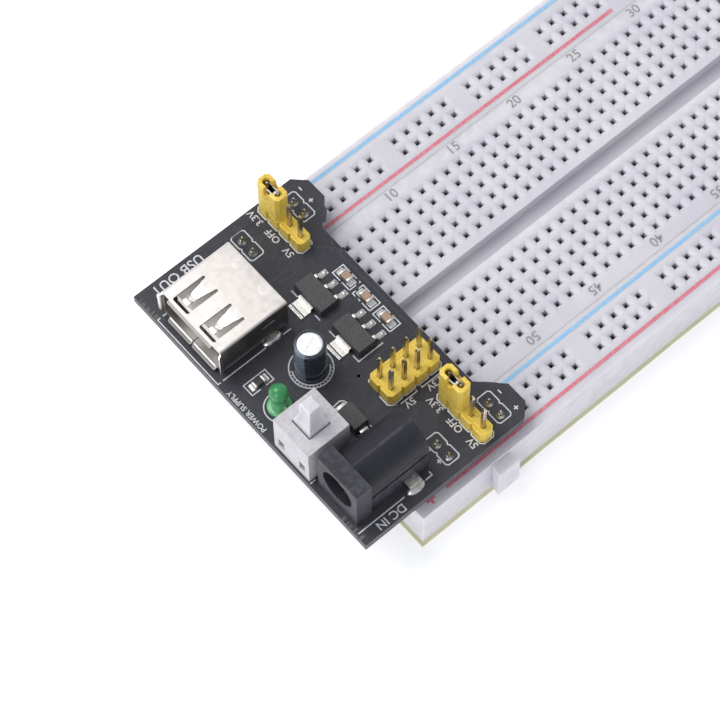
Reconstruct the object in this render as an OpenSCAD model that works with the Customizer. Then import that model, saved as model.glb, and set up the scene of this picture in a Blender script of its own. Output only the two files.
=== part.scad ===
// Solderless breadboard with a plug-in power supply module on one end.
// Z up, origin at the centre of the release liner's bottom face, +X along the board,
// the power module at the -X end. "left" is the +Y side, "right" is the -Y side.

/* [Board] */
// Number of tie-point columns
columns = 59; // [23:6:65]
// Distance between neighbouring tie points
pitch = 2.54; // [2.54]
// Overall length of the plastic parts
board_l = 163.6; // [162:0.2:168]
// Overall width across both power rails
board_w = 54.6; // [54.2:0.1:56]
// Width of the terminal strip
strip_w = 35.2; // [35:0.1:35.8]
// Height of the plastic parts
plastic_h = 8.5; // [8:0.1:9]
// Thickness of the plastic skin that the tie-point holes go through
skin_t = 1.5; // [1:0.1:2]
// Side of a square tie-point hole
hole_w = 0.85; // [0.8:0.01:1.1]
// Row nearest the centre line, in the terminal strip
first_row_y = 3.81; // [3.81]
// Inner row of each power rail
rail_row_y = 20.92; // [20.9:0.01:21]
// Width of the centre channel
channel_w = 3; // [2:0.1:3.4]
// Depth of the centre channel
channel_depth = 2.6; // [1.6:0.1:4]

/* [Dovetails] */
// Distance of the side tabs from the middle of the board
side_tab_x = 66.55; // [60:0.05:70]
// Distance of the end tabs from the centre line
end_tab_y = 8; // [6:0.5:12]
// How far a tab stands out
tab_out = 1.9; // [1.5:0.1:1.9]
// Width of a tab at its root
tab_root_w = 3.2; // [3:0.1:3.6]
// Width of a tab at its tip
tab_tip_w = 4.2; // [3.8:0.1:4.6]

/* [Backing] */
// Thickness of the adhesive foam
foam_t = 0.9; // [0.6:0.1:1.2]
// Thickness of the paper release liner
liner_t = 0.2; // [0.1:0.05:0.3]
// How far the foam stays inside the plastic
foam_inset = 0.3; // [0:0.1:0.5]
// How far the liner stands out past the plastic
liner_out = 0.4; // [0:0.1:0.6]

/* [Spring contacts] */
// Thickness of the contact metal
contact_t = 0.25; // [0.2:0.01:0.3]
// Height of a spring contact
contact_h = 6.4; // [5:0.1:6.6]
// Gap between the two fingers of a pair
finger_gap = 0.76; // [0.7:0.01:0.9]
// Width of one finger
finger_w = 1.8; // [1.4:0.1:2]

/* [Power module] */
// Thickness of the circuit board
pcb_t = 1.6; // [1.6]
// Edge of the circuit board that hangs past the end of the breadboard
pcb_end_x = -91.9; // [-93:0.1:-91.5]
// Edge of the circuit board between its two ears
pcb_back_x = -63; // [-63.4:0.1:-62.8]
// Edge of the two ears
ear_x = -59.25; // [-59.6:0.05:-59]
// Width of the circuit board
pcb_w = 53.1; // [52.6:0.1:53.4]
// Width of a square header pin
pin_w = 0.64; // [0.64]
// Height of a header's plastic
header_h = 2.54; // [2.5:0.01:2.6]
// Height of the pin tips above the circuit board
pin_top = 8.6; // [8:0.1:9]
// Depth that the rail pins reach into the breadboard
pin_reach = 6; // [5:0.1:6.2]

/* [Sockets and switch] */
// Radius of the power jack's bore
jack_bore_r = 3.1; // [3:0.05:3.2]
// Radius of the power jack's centre pin
jack_pin_r = 1; // [0.95:0.05:1.25]
// Width of the USB socket
usb_w = 12.8; // [12.6:0.1:13.3]
// Top of the USB socket above the circuit board
usb_h = 7; // [6.8:0.1:7.1]
// Width of the square switch housing
switch_w = 7.8; // [7.6:0.1:8.1]
// Height of the switch housing
switch_h = 8.8; // [8.6:0.1:9]
// Travel of the switch button
switch_travel = 2; // [1.5:0.1:2]

/* [Hidden] */
$fn = 48;

LEFT = 1;
RIGHT = -1;
rows = 5;
rail_group = 5;
seam = 0.05;
tab_clear = 0.1;
over = 0.1;
body_z = liner_t + foam_t;
board_top = body_z + plastic_h;
cavity_h = plastic_h - skin_t;
cavity_w = 2;
strip_y = strip_w / 2 - seam;
rail_y = strip_w / 2 + seam;
clip_l = (rows - 1) * pitch + finger_w + 0.4;
mid_row_y = first_row_y + (rows - 1) / 2 * pitch;
last_column = (columns - 1) / 2;
rail_split = floor(columns / 2);
half_rail_l = (rail_split - 1) * pitch + finger_w + 0.4;
half_rail_x = (last_column - (rail_split - 1) / 2) * pitch;
tab_bottom = 0.7;
tab_top = 7.6;

pcb_z = board_top + header_h;
pcb_top = pcb_z + pcb_t;
lead_below = 1.4;
drill_r = 0.5;
lead_drill_r = 0.4;
slot_w = 0.8;
rail_pin_x = [-25 * pitch, -29 * pitch];
rail_pin_y = [rail_row_y, rail_row_y + pitch];
rail_tip = 1.3;
pin_hole = pin_w + 0.02;

output_at = [-69.72, -9.32];
selector_left_at = [-67.2, 21.12];
pcb_shift_y = 0.35;
selector_right_at = [-67.5, -20.2];
selector_pins = 4;

usb_at = [-77.4, 14.8];
usb_l = 12.8;
usb_wall = 0.35;
usb_floor = 0.9;
usb_lip = 0.6;
usb_pin_x = 1.2;
usb_pin_w = 0.5;
usb_pin_t = 0.25;
usb_pin_y = [-3.5, -1, 1, 3.5];
usb_tongue_z = [4.1, 5.9];
usb_leg_w = 2;
usb_spring_y = 3.05;
usb_leg_x = -80.8;
usb_block_l = 3;

jack_back_x = -76.8;
jack_front_x = -90.9;
jack_y = -18.8;
jack_axis_z = 5.9;
jack_flange_w = 8.6;
jack_flange_h = 10;
jack_flange_t = 2.9;
jack_barrel_r = 3.9;
jack_bore_end = -79.5;
jack_lug_w = 2.4;
jack_side_lug_x = -80.5;
jack_side_lug_w = 2.3;
jack_bottom_lug_x = -82.9;
jack_side_lug_y = -24;
lug_t = 0.3;
lug_gap = 0.4;
lug_below = 2.4;
side_lug_z = [1.2, 1.5];
side_lug_in = 1;

switch_at = [-87.65, -9.4];
switch_floor = 1;
switch_roof = 1.2;
switch_wall = 0.9;
switch_cavity = switch_w - 2 * switch_wall;
switch_hole = 4;
button_w = 3.6;
button_head_w = 2.4;
button_base_top = 10.2;
button_top = 14.8;
button_flange_w = 5.6;
button_flange_z = [5.7, 7.5];
switch_pin_x = 2.2;
switch_pin_t = 0.3;
switch_pin_w = 0.5;
switch_pin_pitch = 2;
spring_r = 1.5;
spring_wire = 0.3;
spring_turns = 4;

capacitor_at = [-79.6, 0.45];
capacitor_r = 2.5;
capacitor_h = 8.2;
lead_pitch = 2.54;
led_at = [-87.1, -1.3];
led_r = 1.5;
led_h = 6.3;
led_flange_r = 1.9;
led_flange_h = 0.9;
led_lead_w = 0.45;

regulator_left_at = [-71.35, 8.95];
regulator_right_at = [-71.45, 0.18];
regulator_l = 6.2;
diode_at = [-80.5, -10.1];
chip_capacitors_at = [[-65.8, 8.5], [-65.8, 3.9], [-65.8, -0.7]];
chip_resistor_at = [-86.9, 3.75];
chip_l = 2;
chip_w = 1.25;
chip_end = 0.4;

function column_x(i) = (i - last_column) * pitch;
function in_rail_group(i) = i % (rail_group + 1) < rail_group;

// ---------- shared shapes ----------

module at_pcb(at, z = 0) {
    translate([at[0], at[1], pcb_top + z])
        children();
}

module along_y(length) {
    rotate([90, 0, 0])
        linear_extrude(length, center = true)
            children();
}

module along_x(length) {
    rotate([90, 0, 90])
        linear_extrude(length, center = true)
            children();
}

module box(size, z) {
    translate([0, 0, z])
        linear_extrude(size[2])
            square([size[0], size[1]], center = true);
}

module square_post(width, z_low, z_high) {
    translate([0, 0, z_low])
        linear_extrude(z_high - z_low)
            square(width, center = true);
}

// ---------- breadboard ----------

module tab_outline(grow = 0) {
    polygon([
        [-tab_root_w / 2 - grow, over],
        [-tab_tip_w / 2 - grow, -tab_out - grow],
        [tab_tip_w / 2 + grow, -tab_out - grow],
        [tab_root_w / 2 + grow, over]
    ]);
}

module side_tabs(y, grow = 0) {
    for (x = [-side_tab_x, side_tab_x])
        translate([x, y])
            tab_outline(grow);
}

module end_tabs(x, grow = 0) {
    for (y = [-end_tab_y, end_tab_y])
        translate([x, y])
            rotate(90)
                tab_outline(grow);
}

module terminal_holes() {
    for (i = [0:columns - 1], j = [0:rows - 1], side = [LEFT, RIGHT])
        translate([column_x(i), side * (first_row_y + j * pitch)])
            square(hole_w, center = true);
}

module terminal_cavities() {
    for (i = [0:columns - 1], side = [LEFT, RIGHT])
        translate([column_x(i), side * mid_row_y])
            square([cavity_w, clip_l + 0.3], center = true);
}

module strip_layer(z_low, z_high, channel) {
    translate([0, 0, z_low])
        linear_extrude(z_high - z_low)
            difference() {
                square([board_l, 2 * strip_y], center = true);
                children();
                if (channel)
                    square([board_l + 2, channel_w], center = true);
            }
}

module terminal_strip() {
    color("whitesmoke")
        translate([0, 0, body_z])
            difference() {
                union() {
                    strip_layer(0, plastic_h - channel_depth, false)
                        terminal_cavities();
                    strip_layer(plastic_h - channel_depth, cavity_h, true)
                        terminal_cavities();
                    strip_layer(cavity_h, plastic_h, true)
                        terminal_holes();
                    translate([0, 0, tab_bottom])
                        linear_extrude(tab_top - tab_bottom) {
                            side_tabs(-strip_y);
                            end_tabs(board_l / 2);
                        }
                }
                translate([0, 0, -over])
                    linear_extrude(tab_top + 2 * over) {
                        side_tabs(strip_y, tab_clear);
                        end_tabs(-board_l / 2, tab_clear);
                    }
            }
}

module rail_holes(side) {
    for (i = [0:columns - 1], j = [0, 1])
        if (in_rail_group(i))
            translate([column_x(i), side * (rail_row_y + j * pitch)])
                square(hole_w, center = true);
}

module rail_cavities(side) {
    for (half = [-1, 1], j = [0, 1])
        translate([half * half_rail_x, side * (rail_row_y + j * pitch)])
            square([half_rail_l + 0.3, cavity_w], center = true);
}

module rail_outline(side) {
    middle = (rail_y + board_w / 2) / 2;
    translate([0, side * middle])
        square([board_l, board_w / 2 - rail_y], center = true);
}

module power_rail(side) {
    right_edge = side == LEFT ? rail_y : -board_w / 2;
    left_edge = side == LEFT ? board_w / 2 : -rail_y;
    color("whitesmoke")
        translate([0, 0, body_z])
            difference() {
                union() {
                    linear_extrude(cavity_h)
                        difference() {
                            rail_outline(side);
                            rail_cavities(side);
                        }
                    translate([0, 0, cavity_h])
                        linear_extrude(skin_t)
                            difference() {
                                rail_outline(side);
                                rail_holes(side);
                            }
                    translate([0, 0, tab_bottom])
                        linear_extrude(tab_top - tab_bottom)
                            side_tabs(right_edge);
                }
                translate([0, 0, -over])
                    linear_extrude(tab_top + 2 * over)
                        side_tabs(left_edge, tab_clear);
            }
}

module power_rail_left() {
    power_rail(LEFT);
}

module power_rail_right() {
    power_rail(RIGHT);
}

// A bent strip with one pair of spring fingers at each place in xs, along X.
module spring_contact(xs, length) {
    base_w = 1.7;
    inner = base_w / 2 - contact_t;
    outer = base_w / 2;
    finger = [
        [inner, 0], [outer, 0], [finger_gap / 2 + contact_t, contact_h],
        [finger_gap / 2, contact_h]
    ];
    color("silver")
        translate([0, 0, body_z + 0.05]) {
            box([length, base_w, contact_t], 0);
            for (x = xs, side = [0, 1])
                translate([x, 0, contact_t])
                    mirror([0, side, 0])
                        along_x(finger_w)
                            polygon(finger);
        }
}

module terminal_clips(side) {
    for (i = [0:columns - 1])
        translate([column_x(i), side * mid_row_y, 0])
            rotate(90)
                spring_contact([for (j = [-2:2]) j * pitch], clip_l);
}

module terminal_clips_left() {
    terminal_clips(LEFT);
}

module terminal_clips_right() {
    terminal_clips(RIGHT);
}

module rail_contacts(side) {
    for (half = [0, 1], j = [0, 1])
        mirror([half, 0, 0])
            translate([-half_rail_x, side * (rail_row_y + j * pitch), 0])
                spring_contact(
                    [for (i = [0:rail_split - 1]) if (in_rail_group(i)) column_x(i) + half_rail_x],
                    half_rail_l
                );
}

module rail_contacts_left() {
    rail_contacts(LEFT);
}

module rail_contacts_right() {
    rail_contacts(RIGHT);
}

module foam_pad() {
    color("gainsboro")
        box([board_l - 2 * foam_inset, board_w - 2 * foam_inset, foam_t], liner_t);
}

module release_liner() {
    color("lightyellow")
        box([board_l + 2 * liner_out, board_w + 2 * liner_out, liner_t], 0);
}

// ---------- power module: board and headers ----------

module pcb_outline() {
    half = pcb_w / 2;
    ear_y = 20.85;
    ear_cut = 2;
    ear_slope = ear_x - pcb_back_x;
    right_edge = [
        [pcb_end_x, -half], [ear_x - ear_cut, -half], [ear_x, -half + ear_cut],
        [ear_x, -ear_y], [pcb_back_x, -ear_y + ear_slope]
    ];
    left_edge = [
        for (i = [len(right_edge) - 1:-1:0]) [right_edge[i][0], -right_edge[i][1]]
    ];
    translate([0, pcb_shift_y])
        polygon(concat(right_edge, left_edge));
}

module rail_pin_places() {
    for (x = rail_pin_x, y = rail_pin_y, side = [LEFT, RIGHT])
        translate([x, side * y])
            children();
}

module header_places(at, across, along) {
    for (i = [0:across - 1], j = [0:along - 1])
        translate([
            at[0] + (i - (across - 1) / 2) * pitch,
            at[1] + (j - (along - 1) / 2) * pitch
        ])
            children();
}

module header_cell() {
    half = pitch / 2;
    cut = 0.55;
    polygon([
        [-half, -half + cut], [-half + cut, -half], [half - cut, -half], [half, -half + cut],
        [half, half - cut], [half - cut, half], [-half + cut, half], [-half, half - cut]
    ]);
}

module header_base(at, across, along) {
    color("gold")
        translate([0, 0, pcb_top])
            linear_extrude(header_h)
                difference() {
                    header_places(at, across, along)
                        header_cell();
                    header_places(at, across, along)
                        square(pin_hole, center = true);
                }
}

module header_pins(at, across, along) {
    color("silver")
        translate([0, 0, pcb_z - lead_below])
            header_places(at, across, along)
                linear_extrude(lead_below + pcb_t + pin_top)
                    square(pin_w, center = true);
}

module two_lead_places(at, direction) {
    for (side = [-0.5, 0.5])
        translate([at[0], at[1]] + side * lead_pitch * direction)
            children();
}

module switch_pin_places() {
    for (x = [-switch_pin_x, switch_pin_x], j = [-1:1])
        translate([switch_at[0] + x, switch_at[1] + j * switch_pin_pitch])
            children();
}

module drill_holes() {
    rail_pin_places()
        circle(drill_r);
    header_places(output_at, 4, 2)
        circle(drill_r);
    for (at = [selector_left_at, selector_right_at])
        header_places(at, 1, selector_pins)
            circle(drill_r);
    two_lead_places(capacitor_at, [1, 0])
        circle(lead_drill_r);
    two_lead_places(led_at, [0, 1])
        circle(lead_drill_r);
    switch_pin_places()
        circle(lead_drill_r);
    for (y = usb_pin_y)
        translate([usb_at[0] - usb_pin_x, usb_at[1] + y])
            circle(lead_drill_r);
    for (side = [LEFT, RIGHT])
        translate([usb_leg_x, usb_at[1] + side * (usb_w - usb_wall) / 2])
            square([usb_leg_w + lug_gap, slot_w], center = true);
    for (x = [jack_back_x + lug_t / 2, jack_bottom_lug_x])
        translate([x, jack_y])
            square([slot_w, jack_lug_w + lug_gap], center = true);
    translate([jack_side_lug_x, jack_side_lug_y])
        square([jack_side_lug_w + lug_gap, slot_w], center = true);
}

module circuit_board() {
    color("darkslategray")
        translate([0, 0, pcb_z])
            linear_extrude(pcb_t)
                difference() {
                    pcb_outline();
                    drill_holes();
                }
}

module rail_header_spacers() {
    color("black")
        translate([0, 0, board_top])
            linear_extrude(header_h)
                difference() {
                    rail_pin_places()
                        header_cell();
                    rail_pin_places()
                        square(pin_hole, center = true);
                }
}

module rail_header_pins() {
    color("silver")
        translate([0, 0, board_top - pin_reach])
            rail_pin_places()
                linear_extrude(pin_reach + header_h + pcb_t + rail_tip)
                    square(pin_w, center = true);
}

module solder_cone(height) {
    difference() {
        cylinder(h = height, r1 = 0.85, r2 = 0.5);
        translate([0, 0, -over])
            linear_extrude(height + 2 * over)
                square(pin_hole, center = true);
    }
}

module solder_joints() {
    color("lightgray") {
        translate([0, 0, pcb_top])
            rail_pin_places()
                solder_cone(0.8);
        translate([0, 0, pcb_z])
            mirror([0, 0, 1]) {
                header_places(output_at, 4, 2)
                    solder_cone(0.9);
                header_places(selector_left_at, 1, selector_pins)
                    solder_cone(0.9);
                header_places(selector_right_at, 1, selector_pins)
                    solder_cone(0.9);
            }
    }
}

module output_header_base() {
    header_base(output_at, 4, 2);
}

module output_header_pins() {
    header_pins(output_at, 4, 2);
}

module selector_left_base() {
    header_base(selector_left_at, 1, selector_pins);
}

module selector_left_pins() {
    header_pins(selector_left_at, 1, selector_pins);
}

module selector_right_base() {
    header_base(selector_right_at, 1, selector_pins);
}

module selector_right_pins() {
    header_pins(selector_right_at, 1, selector_pins);
}

// A jumper cap sits over the two pins of a selector nearest +Y.
module at_jumper(selector_at) {
    at_pcb([selector_at[0], selector_at[1] + pitch])
        children();
}

// A cap outline with cut corners and a notch in the middle of each long side.
module jumper_outline() {
    half = [1.25, 2.54];
    cut = 0.55;
    notch_in = 0.35;
    notch_half = 0.5;
    notch_slope = 0.2;
    quarter = [
        [half[0] - notch_in, notch_half], [half[0], notch_half + notch_slope],
        [half[0], half[1] - cut], [half[0] - cut, half[1]]
    ];
    function turned(xs, ys) = [for (p = quarter) [xs * p[0], ys * p[1]]];
    function backwards(list) = [for (i = [len(list) - 1:-1:0]) list[i]];
    polygon(concat(
        turned(1, 1), backwards(turned(-1, 1)), turned(-1, -1), backwards(turned(1, -1))
    ));
}

module jumper_cap() {
    cap_low = header_h + 0.05;
    cap_high = 8.85;
    roof = 0.7;
    inside = [1.4, 4.3];
    slot = [1.1, 3.7];
    color("gold") {
        translate([0, 0, cap_low])
            linear_extrude(cap_high - roof - cap_low)
                difference() {
                    jumper_outline();
                    square(inside, center = true);
                }
        translate([0, 0, cap_high - roof])
            linear_extrude(roof)
                difference() {
                    jumper_outline();
                    square(slot, center = true);
                }
    }
}

module jumper_clip() {
    leaf_z = [3.2, 7.9];
    leaf_l = 4;
    bridge_l = 1.5;
    leaf_x = (finger_gap + contact_t) / 2;
    color("silver") {
        for (side = [-1, 1])
            translate([side * leaf_x, 0, leaf_z[0]])
                linear_extrude(leaf_z[1] - leaf_z[0])
                    square([contact_t, leaf_l], center = true);
        translate([0, 0, leaf_z[1] - contact_t])
            linear_extrude(contact_t)
                square([finger_gap, bridge_l], center = true);
    }
}

module jumper_left_cap() {
    at_jumper(selector_left_at)
        jumper_cap();
}

module jumper_left_clip() {
    at_jumper(selector_left_at)
        jumper_clip();
}

module jumper_right_cap() {
    at_jumper(selector_right_at)
        jumper_cap();
}

module jumper_right_clip() {
    at_jumper(selector_right_at)
        jumper_clip();
}

// ---------- USB socket ----------

module usb_lips() {
    half = usb_w / 2;
    lip_w = 9.4;
    slant = 0.45;
    side_low = usb_floor + 1;
    side_h = usb_h - usb_floor - 2;
    for (z = [0, 1])
        translate([-usb_l, 0, z == 1 ? usb_h : usb_floor])
            mirror([0, 0, 1 - z])
                along_y(lip_w)
                    polygon([
                        [0, -usb_wall], [-usb_lip, slant - usb_wall], [-usb_lip, slant], [0, 0]
                    ]);
    for (side = [0, 1])
        mirror([0, side, 0])
            translate([-usb_l, half, side_low])
                linear_extrude(side_h)
                    polygon([
                        [0, -usb_wall], [-usb_lip, slant - usb_wall], [-usb_lip, slant], [0, 0]
                    ]);
}

// The cut round one spring leaf, which stays joined to the shell at its back.
module usb_spring_slot() {
    slot_end = 6;
    half_slot = 1.75;
    leaf_end = 4.9;
    leaf_back = 1.25;
    leaf_tip = 0.65;
    polygon([
        [0, half_slot], [-slot_end, half_slot], [-slot_end, -half_slot], [0, -half_slot],
        [0, -leaf_back], [-leaf_end, -leaf_tip], [-leaf_end, leaf_tip], [0, leaf_back]
    ]);
}

module usb_shell() {
    inner_w = usb_w - 2 * usb_wall;
    slot_back = 6.4;
    seam_w = 0.2;
    color("silver")
        at_pcb(usb_at) {
            difference() {
                translate([-usb_l, -usb_w / 2, usb_floor])
                    cube([usb_l, usb_w, usb_h - usb_floor]);
                translate([-usb_l - over, -inner_w / 2, usb_floor + usb_wall])
                    cube([usb_l + over - usb_wall, inner_w, usb_h - usb_floor - 2 * usb_wall]);
                translate([-usb_block_l, -inner_w / 2, usb_floor - over])
                    cube([usb_block_l - usb_wall, inner_w, usb_wall + 2 * over]);
                translate([-usb_l - over, -seam_w / 2, usb_floor - over])
                    cube([usb_l - usb_block_l, seam_w, usb_wall + 2 * over]);
                for (y = [-usb_spring_y, usb_spring_y])
                    translate([-slot_back, y, usb_h - usb_wall - over])
                        linear_extrude(usb_wall + 2 * over)
                            usb_spring_slot();
            }
            usb_lips();
            for (side = [LEFT, RIGHT])
                translate([usb_leg_x - usb_at[0], side * (usb_w - usb_wall) / 2, 0])
                    box([usb_leg_w, usb_wall, usb_floor + lug_below + over], -lug_below);
        }
}

module usb_insulator() {
    inner_w = usb_w - 2 * usb_wall - 0.1;
    block_z = [usb_floor + usb_wall, usb_h - usb_wall - 0.05];
    tongue_l = 11;
    tongue_w = 11;
    pin_slot_w = 0.7;
    blade_slot_w = 1.2;
    color("white")
        at_pcb(usb_at)
            difference() {
                union() {
                    translate([-usb_block_l - usb_wall, -inner_w / 2, block_z[0]])
                        cube([usb_block_l - 0.05, inner_w, block_z[1] - block_z[0]]);
                    translate([-tongue_l, -tongue_w / 2, usb_tongue_z[0]])
                        cube([
                            tongue_l - usb_block_l, tongue_w, usb_tongue_z[1] - usb_tongue_z[0]
                        ]);
                }
                for (y = usb_pin_y) {
                    translate([-usb_pin_x - 0.4, y - pin_slot_w / 2, block_z[0] - over])
                        cube([0.8, pin_slot_w, usb_tongue_z[0] - block_z[0] + over]);
                    translate([-tongue_l + 0.4, y - blade_slot_w / 2, usb_tongue_z[0] - over])
                        cube([tongue_l - 1.1, blade_slot_w, 0.3 + over]);
                }
            }
}

module usb_contacts() {
    blade_w = 1;
    blade_l = 9.3;
    pin_face = -usb_pin_x + usb_pin_t / 2;
    color("goldenrod")
        at_pcb(usb_at)
            for (y = usb_pin_y)
                translate([pin_face, y, 0]) {
                    translate([-blade_l, -blade_w / 2, usb_tongue_z[0]])
                        cube([blade_l, blade_w, usb_pin_t]);
                    translate([-usb_pin_t, -usb_pin_w / 2, -pcb_t - lead_below])
                        cube([usb_pin_t, usb_pin_w, usb_tongue_z[0] + pcb_t + lead_below]);
                }
}

// ---------- power jack ----------

module jack_cylinder(radius, x_low, x_high) {
    translate([x_low, jack_y, jack_axis_z])
        rotate([0, 90, 0])
            cylinder(h = x_high - x_low, r = radius);
}

module jack_housing() {
    flange_x = jack_front_x + jack_flange_t;
    groove_z = 4.1;
    groove_h = 0.8;
    pocket_x = [-86.6, -79.6];
    pocket_z = [0.6, 3.8];
    pocket_w = jack_lug_w + lug_gap;
    color("dimgray")
        translate([0, 0, pcb_top])
            difference() {
                union() {
                    translate([jack_front_x, jack_y - jack_flange_w / 2, 0])
                        cube([jack_flange_t, jack_flange_w, jack_flange_h]);
                    jack_cylinder(jack_barrel_r, flange_x, jack_back_x);
                    translate([flange_x, jack_y - jack_barrel_r, 0])
                        cube([jack_back_x - flange_x, 2 * jack_barrel_r, jack_axis_z]);
                }
                jack_cylinder(jack_bore_r, jack_front_x - over, jack_bore_end);
                jack_cylinder(jack_pin_r - 0.15, jack_bore_end - over, jack_back_x + over);
                translate([flange_x + 0.4, jack_y - jack_barrel_r - over, groove_z])
                    cube([jack_back_x - flange_x, 0.5 + over, groove_h]);
                translate([pocket_x[0], jack_y - pocket_w / 2, pocket_z[0]])
                    cube([pocket_x[1] - pocket_x[0], pocket_w, pocket_z[1] - pocket_z[0]]);
                translate([jack_bottom_lug_x - slot_w / 2, jack_y - pocket_w / 2, -over])
                    cube([slot_w, pocket_w, pocket_z[0] + 2 * over]);
                translate([
                    jack_side_lug_x - (jack_side_lug_w + over) / 2,
                    jack_y - jack_barrel_r - over,
                    side_lug_z[0] - 0.1
                ])
                    cube([
                        jack_side_lug_w + over, side_lug_in + 0.2 + over,
                        side_lug_z[1] - side_lug_z[0] + 0.2
                    ]);
            }
}

module jack_center_pin() {
    color("silver")
        translate([0, 0, pcb_top]) {
            jack_cylinder(jack_pin_r, jack_front_x + 1, jack_bore_end);
            jack_cylinder(jack_pin_r - 0.2, jack_bore_end - over, jack_back_x + lug_t / 2);
            translate([jack_back_x, jack_y - jack_lug_w / 2, -lug_below])
                cube([lug_t, jack_lug_w, jack_axis_z + 1 + lug_below]);
        }
}

// A lug with a spring arm that rises towards the plug from its foot.
module jack_sleeve_contact() {
    x = jack_bottom_lug_x;
    half = lug_t / 2;
    foot_x = x + 2.9;
    foot_z = [1, 1.3];
    tip_x = x - 3;
    tip_z = 2.6;
    color("silver")
        translate([0, jack_y, pcb_top])
            along_y(jack_lug_w)
                polygon([
                    [x - half, -lug_below], [x + half, -lug_below], [x + half, foot_z[0]],
                    [foot_x, foot_z[0]], [foot_x, foot_z[1]], [x, foot_z[1]], [tip_x, tip_z],
                    [tip_x - 0.2, tip_z - 0.25], [x - half, foot_z[0] + 0.05]
                ]);
}

module jack_switch_contact() {
    inner_y = jack_y - jack_barrel_r + side_lug_in;
    y = jack_side_lug_y;
    half = lug_t / 2;
    color("silver")
        translate([jack_side_lug_x, 0, pcb_top])
            along_x(jack_side_lug_w)
                polygon([
                    [y - half, -lug_below], [y + half, -lug_below], [y + half, side_lug_z[0]],
                    [inner_y, side_lug_z[0]], [inner_y, side_lug_z[1]], [y - half, side_lug_z[1]]
                ]);
}

// ---------- push switch ----------

module switch_housing() {
    window = [1.3, 2.2];
    window_y = 2.3;
    color("lightgray")
        at_pcb(switch_at)
            difference() {
                box([switch_w, switch_w, switch_h], 0);
                box([switch_cavity, switch_cavity, switch_h - switch_floor - switch_roof],
                    switch_floor);
                box([switch_hole, switch_hole, 2 * switch_roof], switch_h - switch_roof - over);
                for (y = [-window_y, window_y])
                    translate([-switch_w / 2 - over, y - window[0] / 2, switch_floor + 0.6])
                        cube([switch_wall + 2 * over, window[0], window[1]]);
                for (x = [-switch_pin_x, switch_pin_x], j = [-1:1])
                    translate([x, j * switch_pin_pitch, 0])
                        box([
                            switch_pin_t + lug_gap, switch_pin_w + lug_gap, switch_floor + 2 * over
                        ], -over);
            }
}

module switch_terminals() {
    color("silver")
        translate([0, 0, pcb_z - lead_below])
            switch_pin_places()
                linear_extrude(lead_below + pcb_t + switch_floor + 1)
                    square([switch_pin_t, switch_pin_w], center = true);
}

function helix_point(turn, angle, low, rise) = [
    (spring_r + spring_wire / 2 * cos(angle)) * cos(360 * turn),
    (spring_r + spring_wire / 2 * cos(angle)) * sin(360 * turn),
    low + rise * turn + spring_wire / 2 * sin(angle)
];

module switch_spring() {
    steps = 12;
    sides = 6;
    rings = spring_turns * steps;
    low = switch_floor + spring_wire / 2 + 0.03;
    high = button_flange_z[0] - spring_wire / 2 - 0.03;
    rise = (high - low) / spring_turns;
    points = [
        for (i = [0:rings], j = [0:sides - 1])
            helix_point(i / steps, -360 * j / sides, low, rise)
    ];
    walls = [
        for (i = [0:rings - 1], j = [0:sides - 1])
            [
                i * sides + j, i * sides + (j + 1) % sides,
                (i + 1) * sides + (j + 1) % sides, (i + 1) * sides + j
            ]
    ];
    first_cap = [for (j = [0:sides - 1]) sides - 1 - j];
    last_cap = [for (j = [0:sides - 1]) rings * sides + j];
    color("silver")
        at_pcb(switch_at)
            polyhedron(points, concat([first_cap], walls, [last_cap]));
}

module switch_plunger() {
    color("white")
        at_pcb(switch_at) {
            box([button_flange_w, button_flange_w, button_flange_z[1] - button_flange_z[0]],
                button_flange_z[0]);
            box([button_w, button_w, button_base_top - button_flange_z[1]], button_flange_z[1]);
            box([button_head_w, button_head_w, button_top - button_base_top], button_base_top);
        }
}

// ---------- capacitor and LED ----------

module capacitor_can() {
    outer = capacitor_r - 0.12;
    wall = 0.2;
    color("silver")
        at_pcb(capacitor_at)
            rotate_extrude()
                polygon([
                    [outer - wall, 0.3], [outer, 0.3], [outer, capacitor_h - 0.3],
                    [outer - 0.3, capacitor_h], [0, capacitor_h], [0, capacitor_h - wall],
                    [outer - wall, capacitor_h - wall - 0.1]
                ]);
}

module capacitor_sleeve() {
    inner = capacitor_r - 0.1;
    lip = capacitor_r - 0.8;
    color("darkslategray")
        at_pcb(capacitor_at)
            rotate_extrude()
                polygon([
                    [inner, 0.25], [capacitor_r, 0.25], [capacitor_r, capacitor_h + 0.1],
                    [lip, capacitor_h + 0.1], [lip, capacitor_h + 0.02],
                    [inner, capacitor_h + 0.02]
                ]);
}

module capacitor_winding() {
    color("peru")
        at_pcb(capacitor_at, 2)
            cylinder(h = capacitor_h - 3, r = capacitor_r - 0.5);
}

module capacitor_bung() {
    color("black")
        at_pcb(capacitor_at)
            difference() {
                translate([0, 0, 0.3])
                    cylinder(h = 1.6, r = capacitor_r - 0.35);
                for (x = [-lead_pitch / 2, lead_pitch / 2])
                    translate([x, 0, 0])
                        cylinder(h = 3, r = 0.27);
            }
}

module capacitor_leads() {
    color("silver")
        translate([0, 0, pcb_z - lead_below])
            two_lead_places(capacitor_at, [1, 0])
                cylinder(h = lead_below + pcb_t + 1.9, r = 0.25);
}

module led_lead_shapes(grow = 0) {
    translate([0, 0, pcb_z - lead_below])
        two_lead_places(led_at, [0, 1])
            linear_extrude(lead_below + pcb_t + 1.6 + grow)
                square(led_lead_w + 2 * grow, center = true);
}

module led_lens() {
    color("green")
        difference() {
            at_pcb(led_at)
                rotate_extrude()
                    union() {
                        square([led_flange_r, led_flange_h]);
                        square([led_r, led_h - led_r]);
                        intersection() {
                            translate([0, led_h - led_r])
                                circle(led_r);
                            square([led_r, led_h]);
                        }
                    }
            led_lead_shapes(0.02);
        }
}

module led_leads() {
    color("silver")
        led_lead_shapes();
}

// ---------- surface-mount parts ----------

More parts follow.
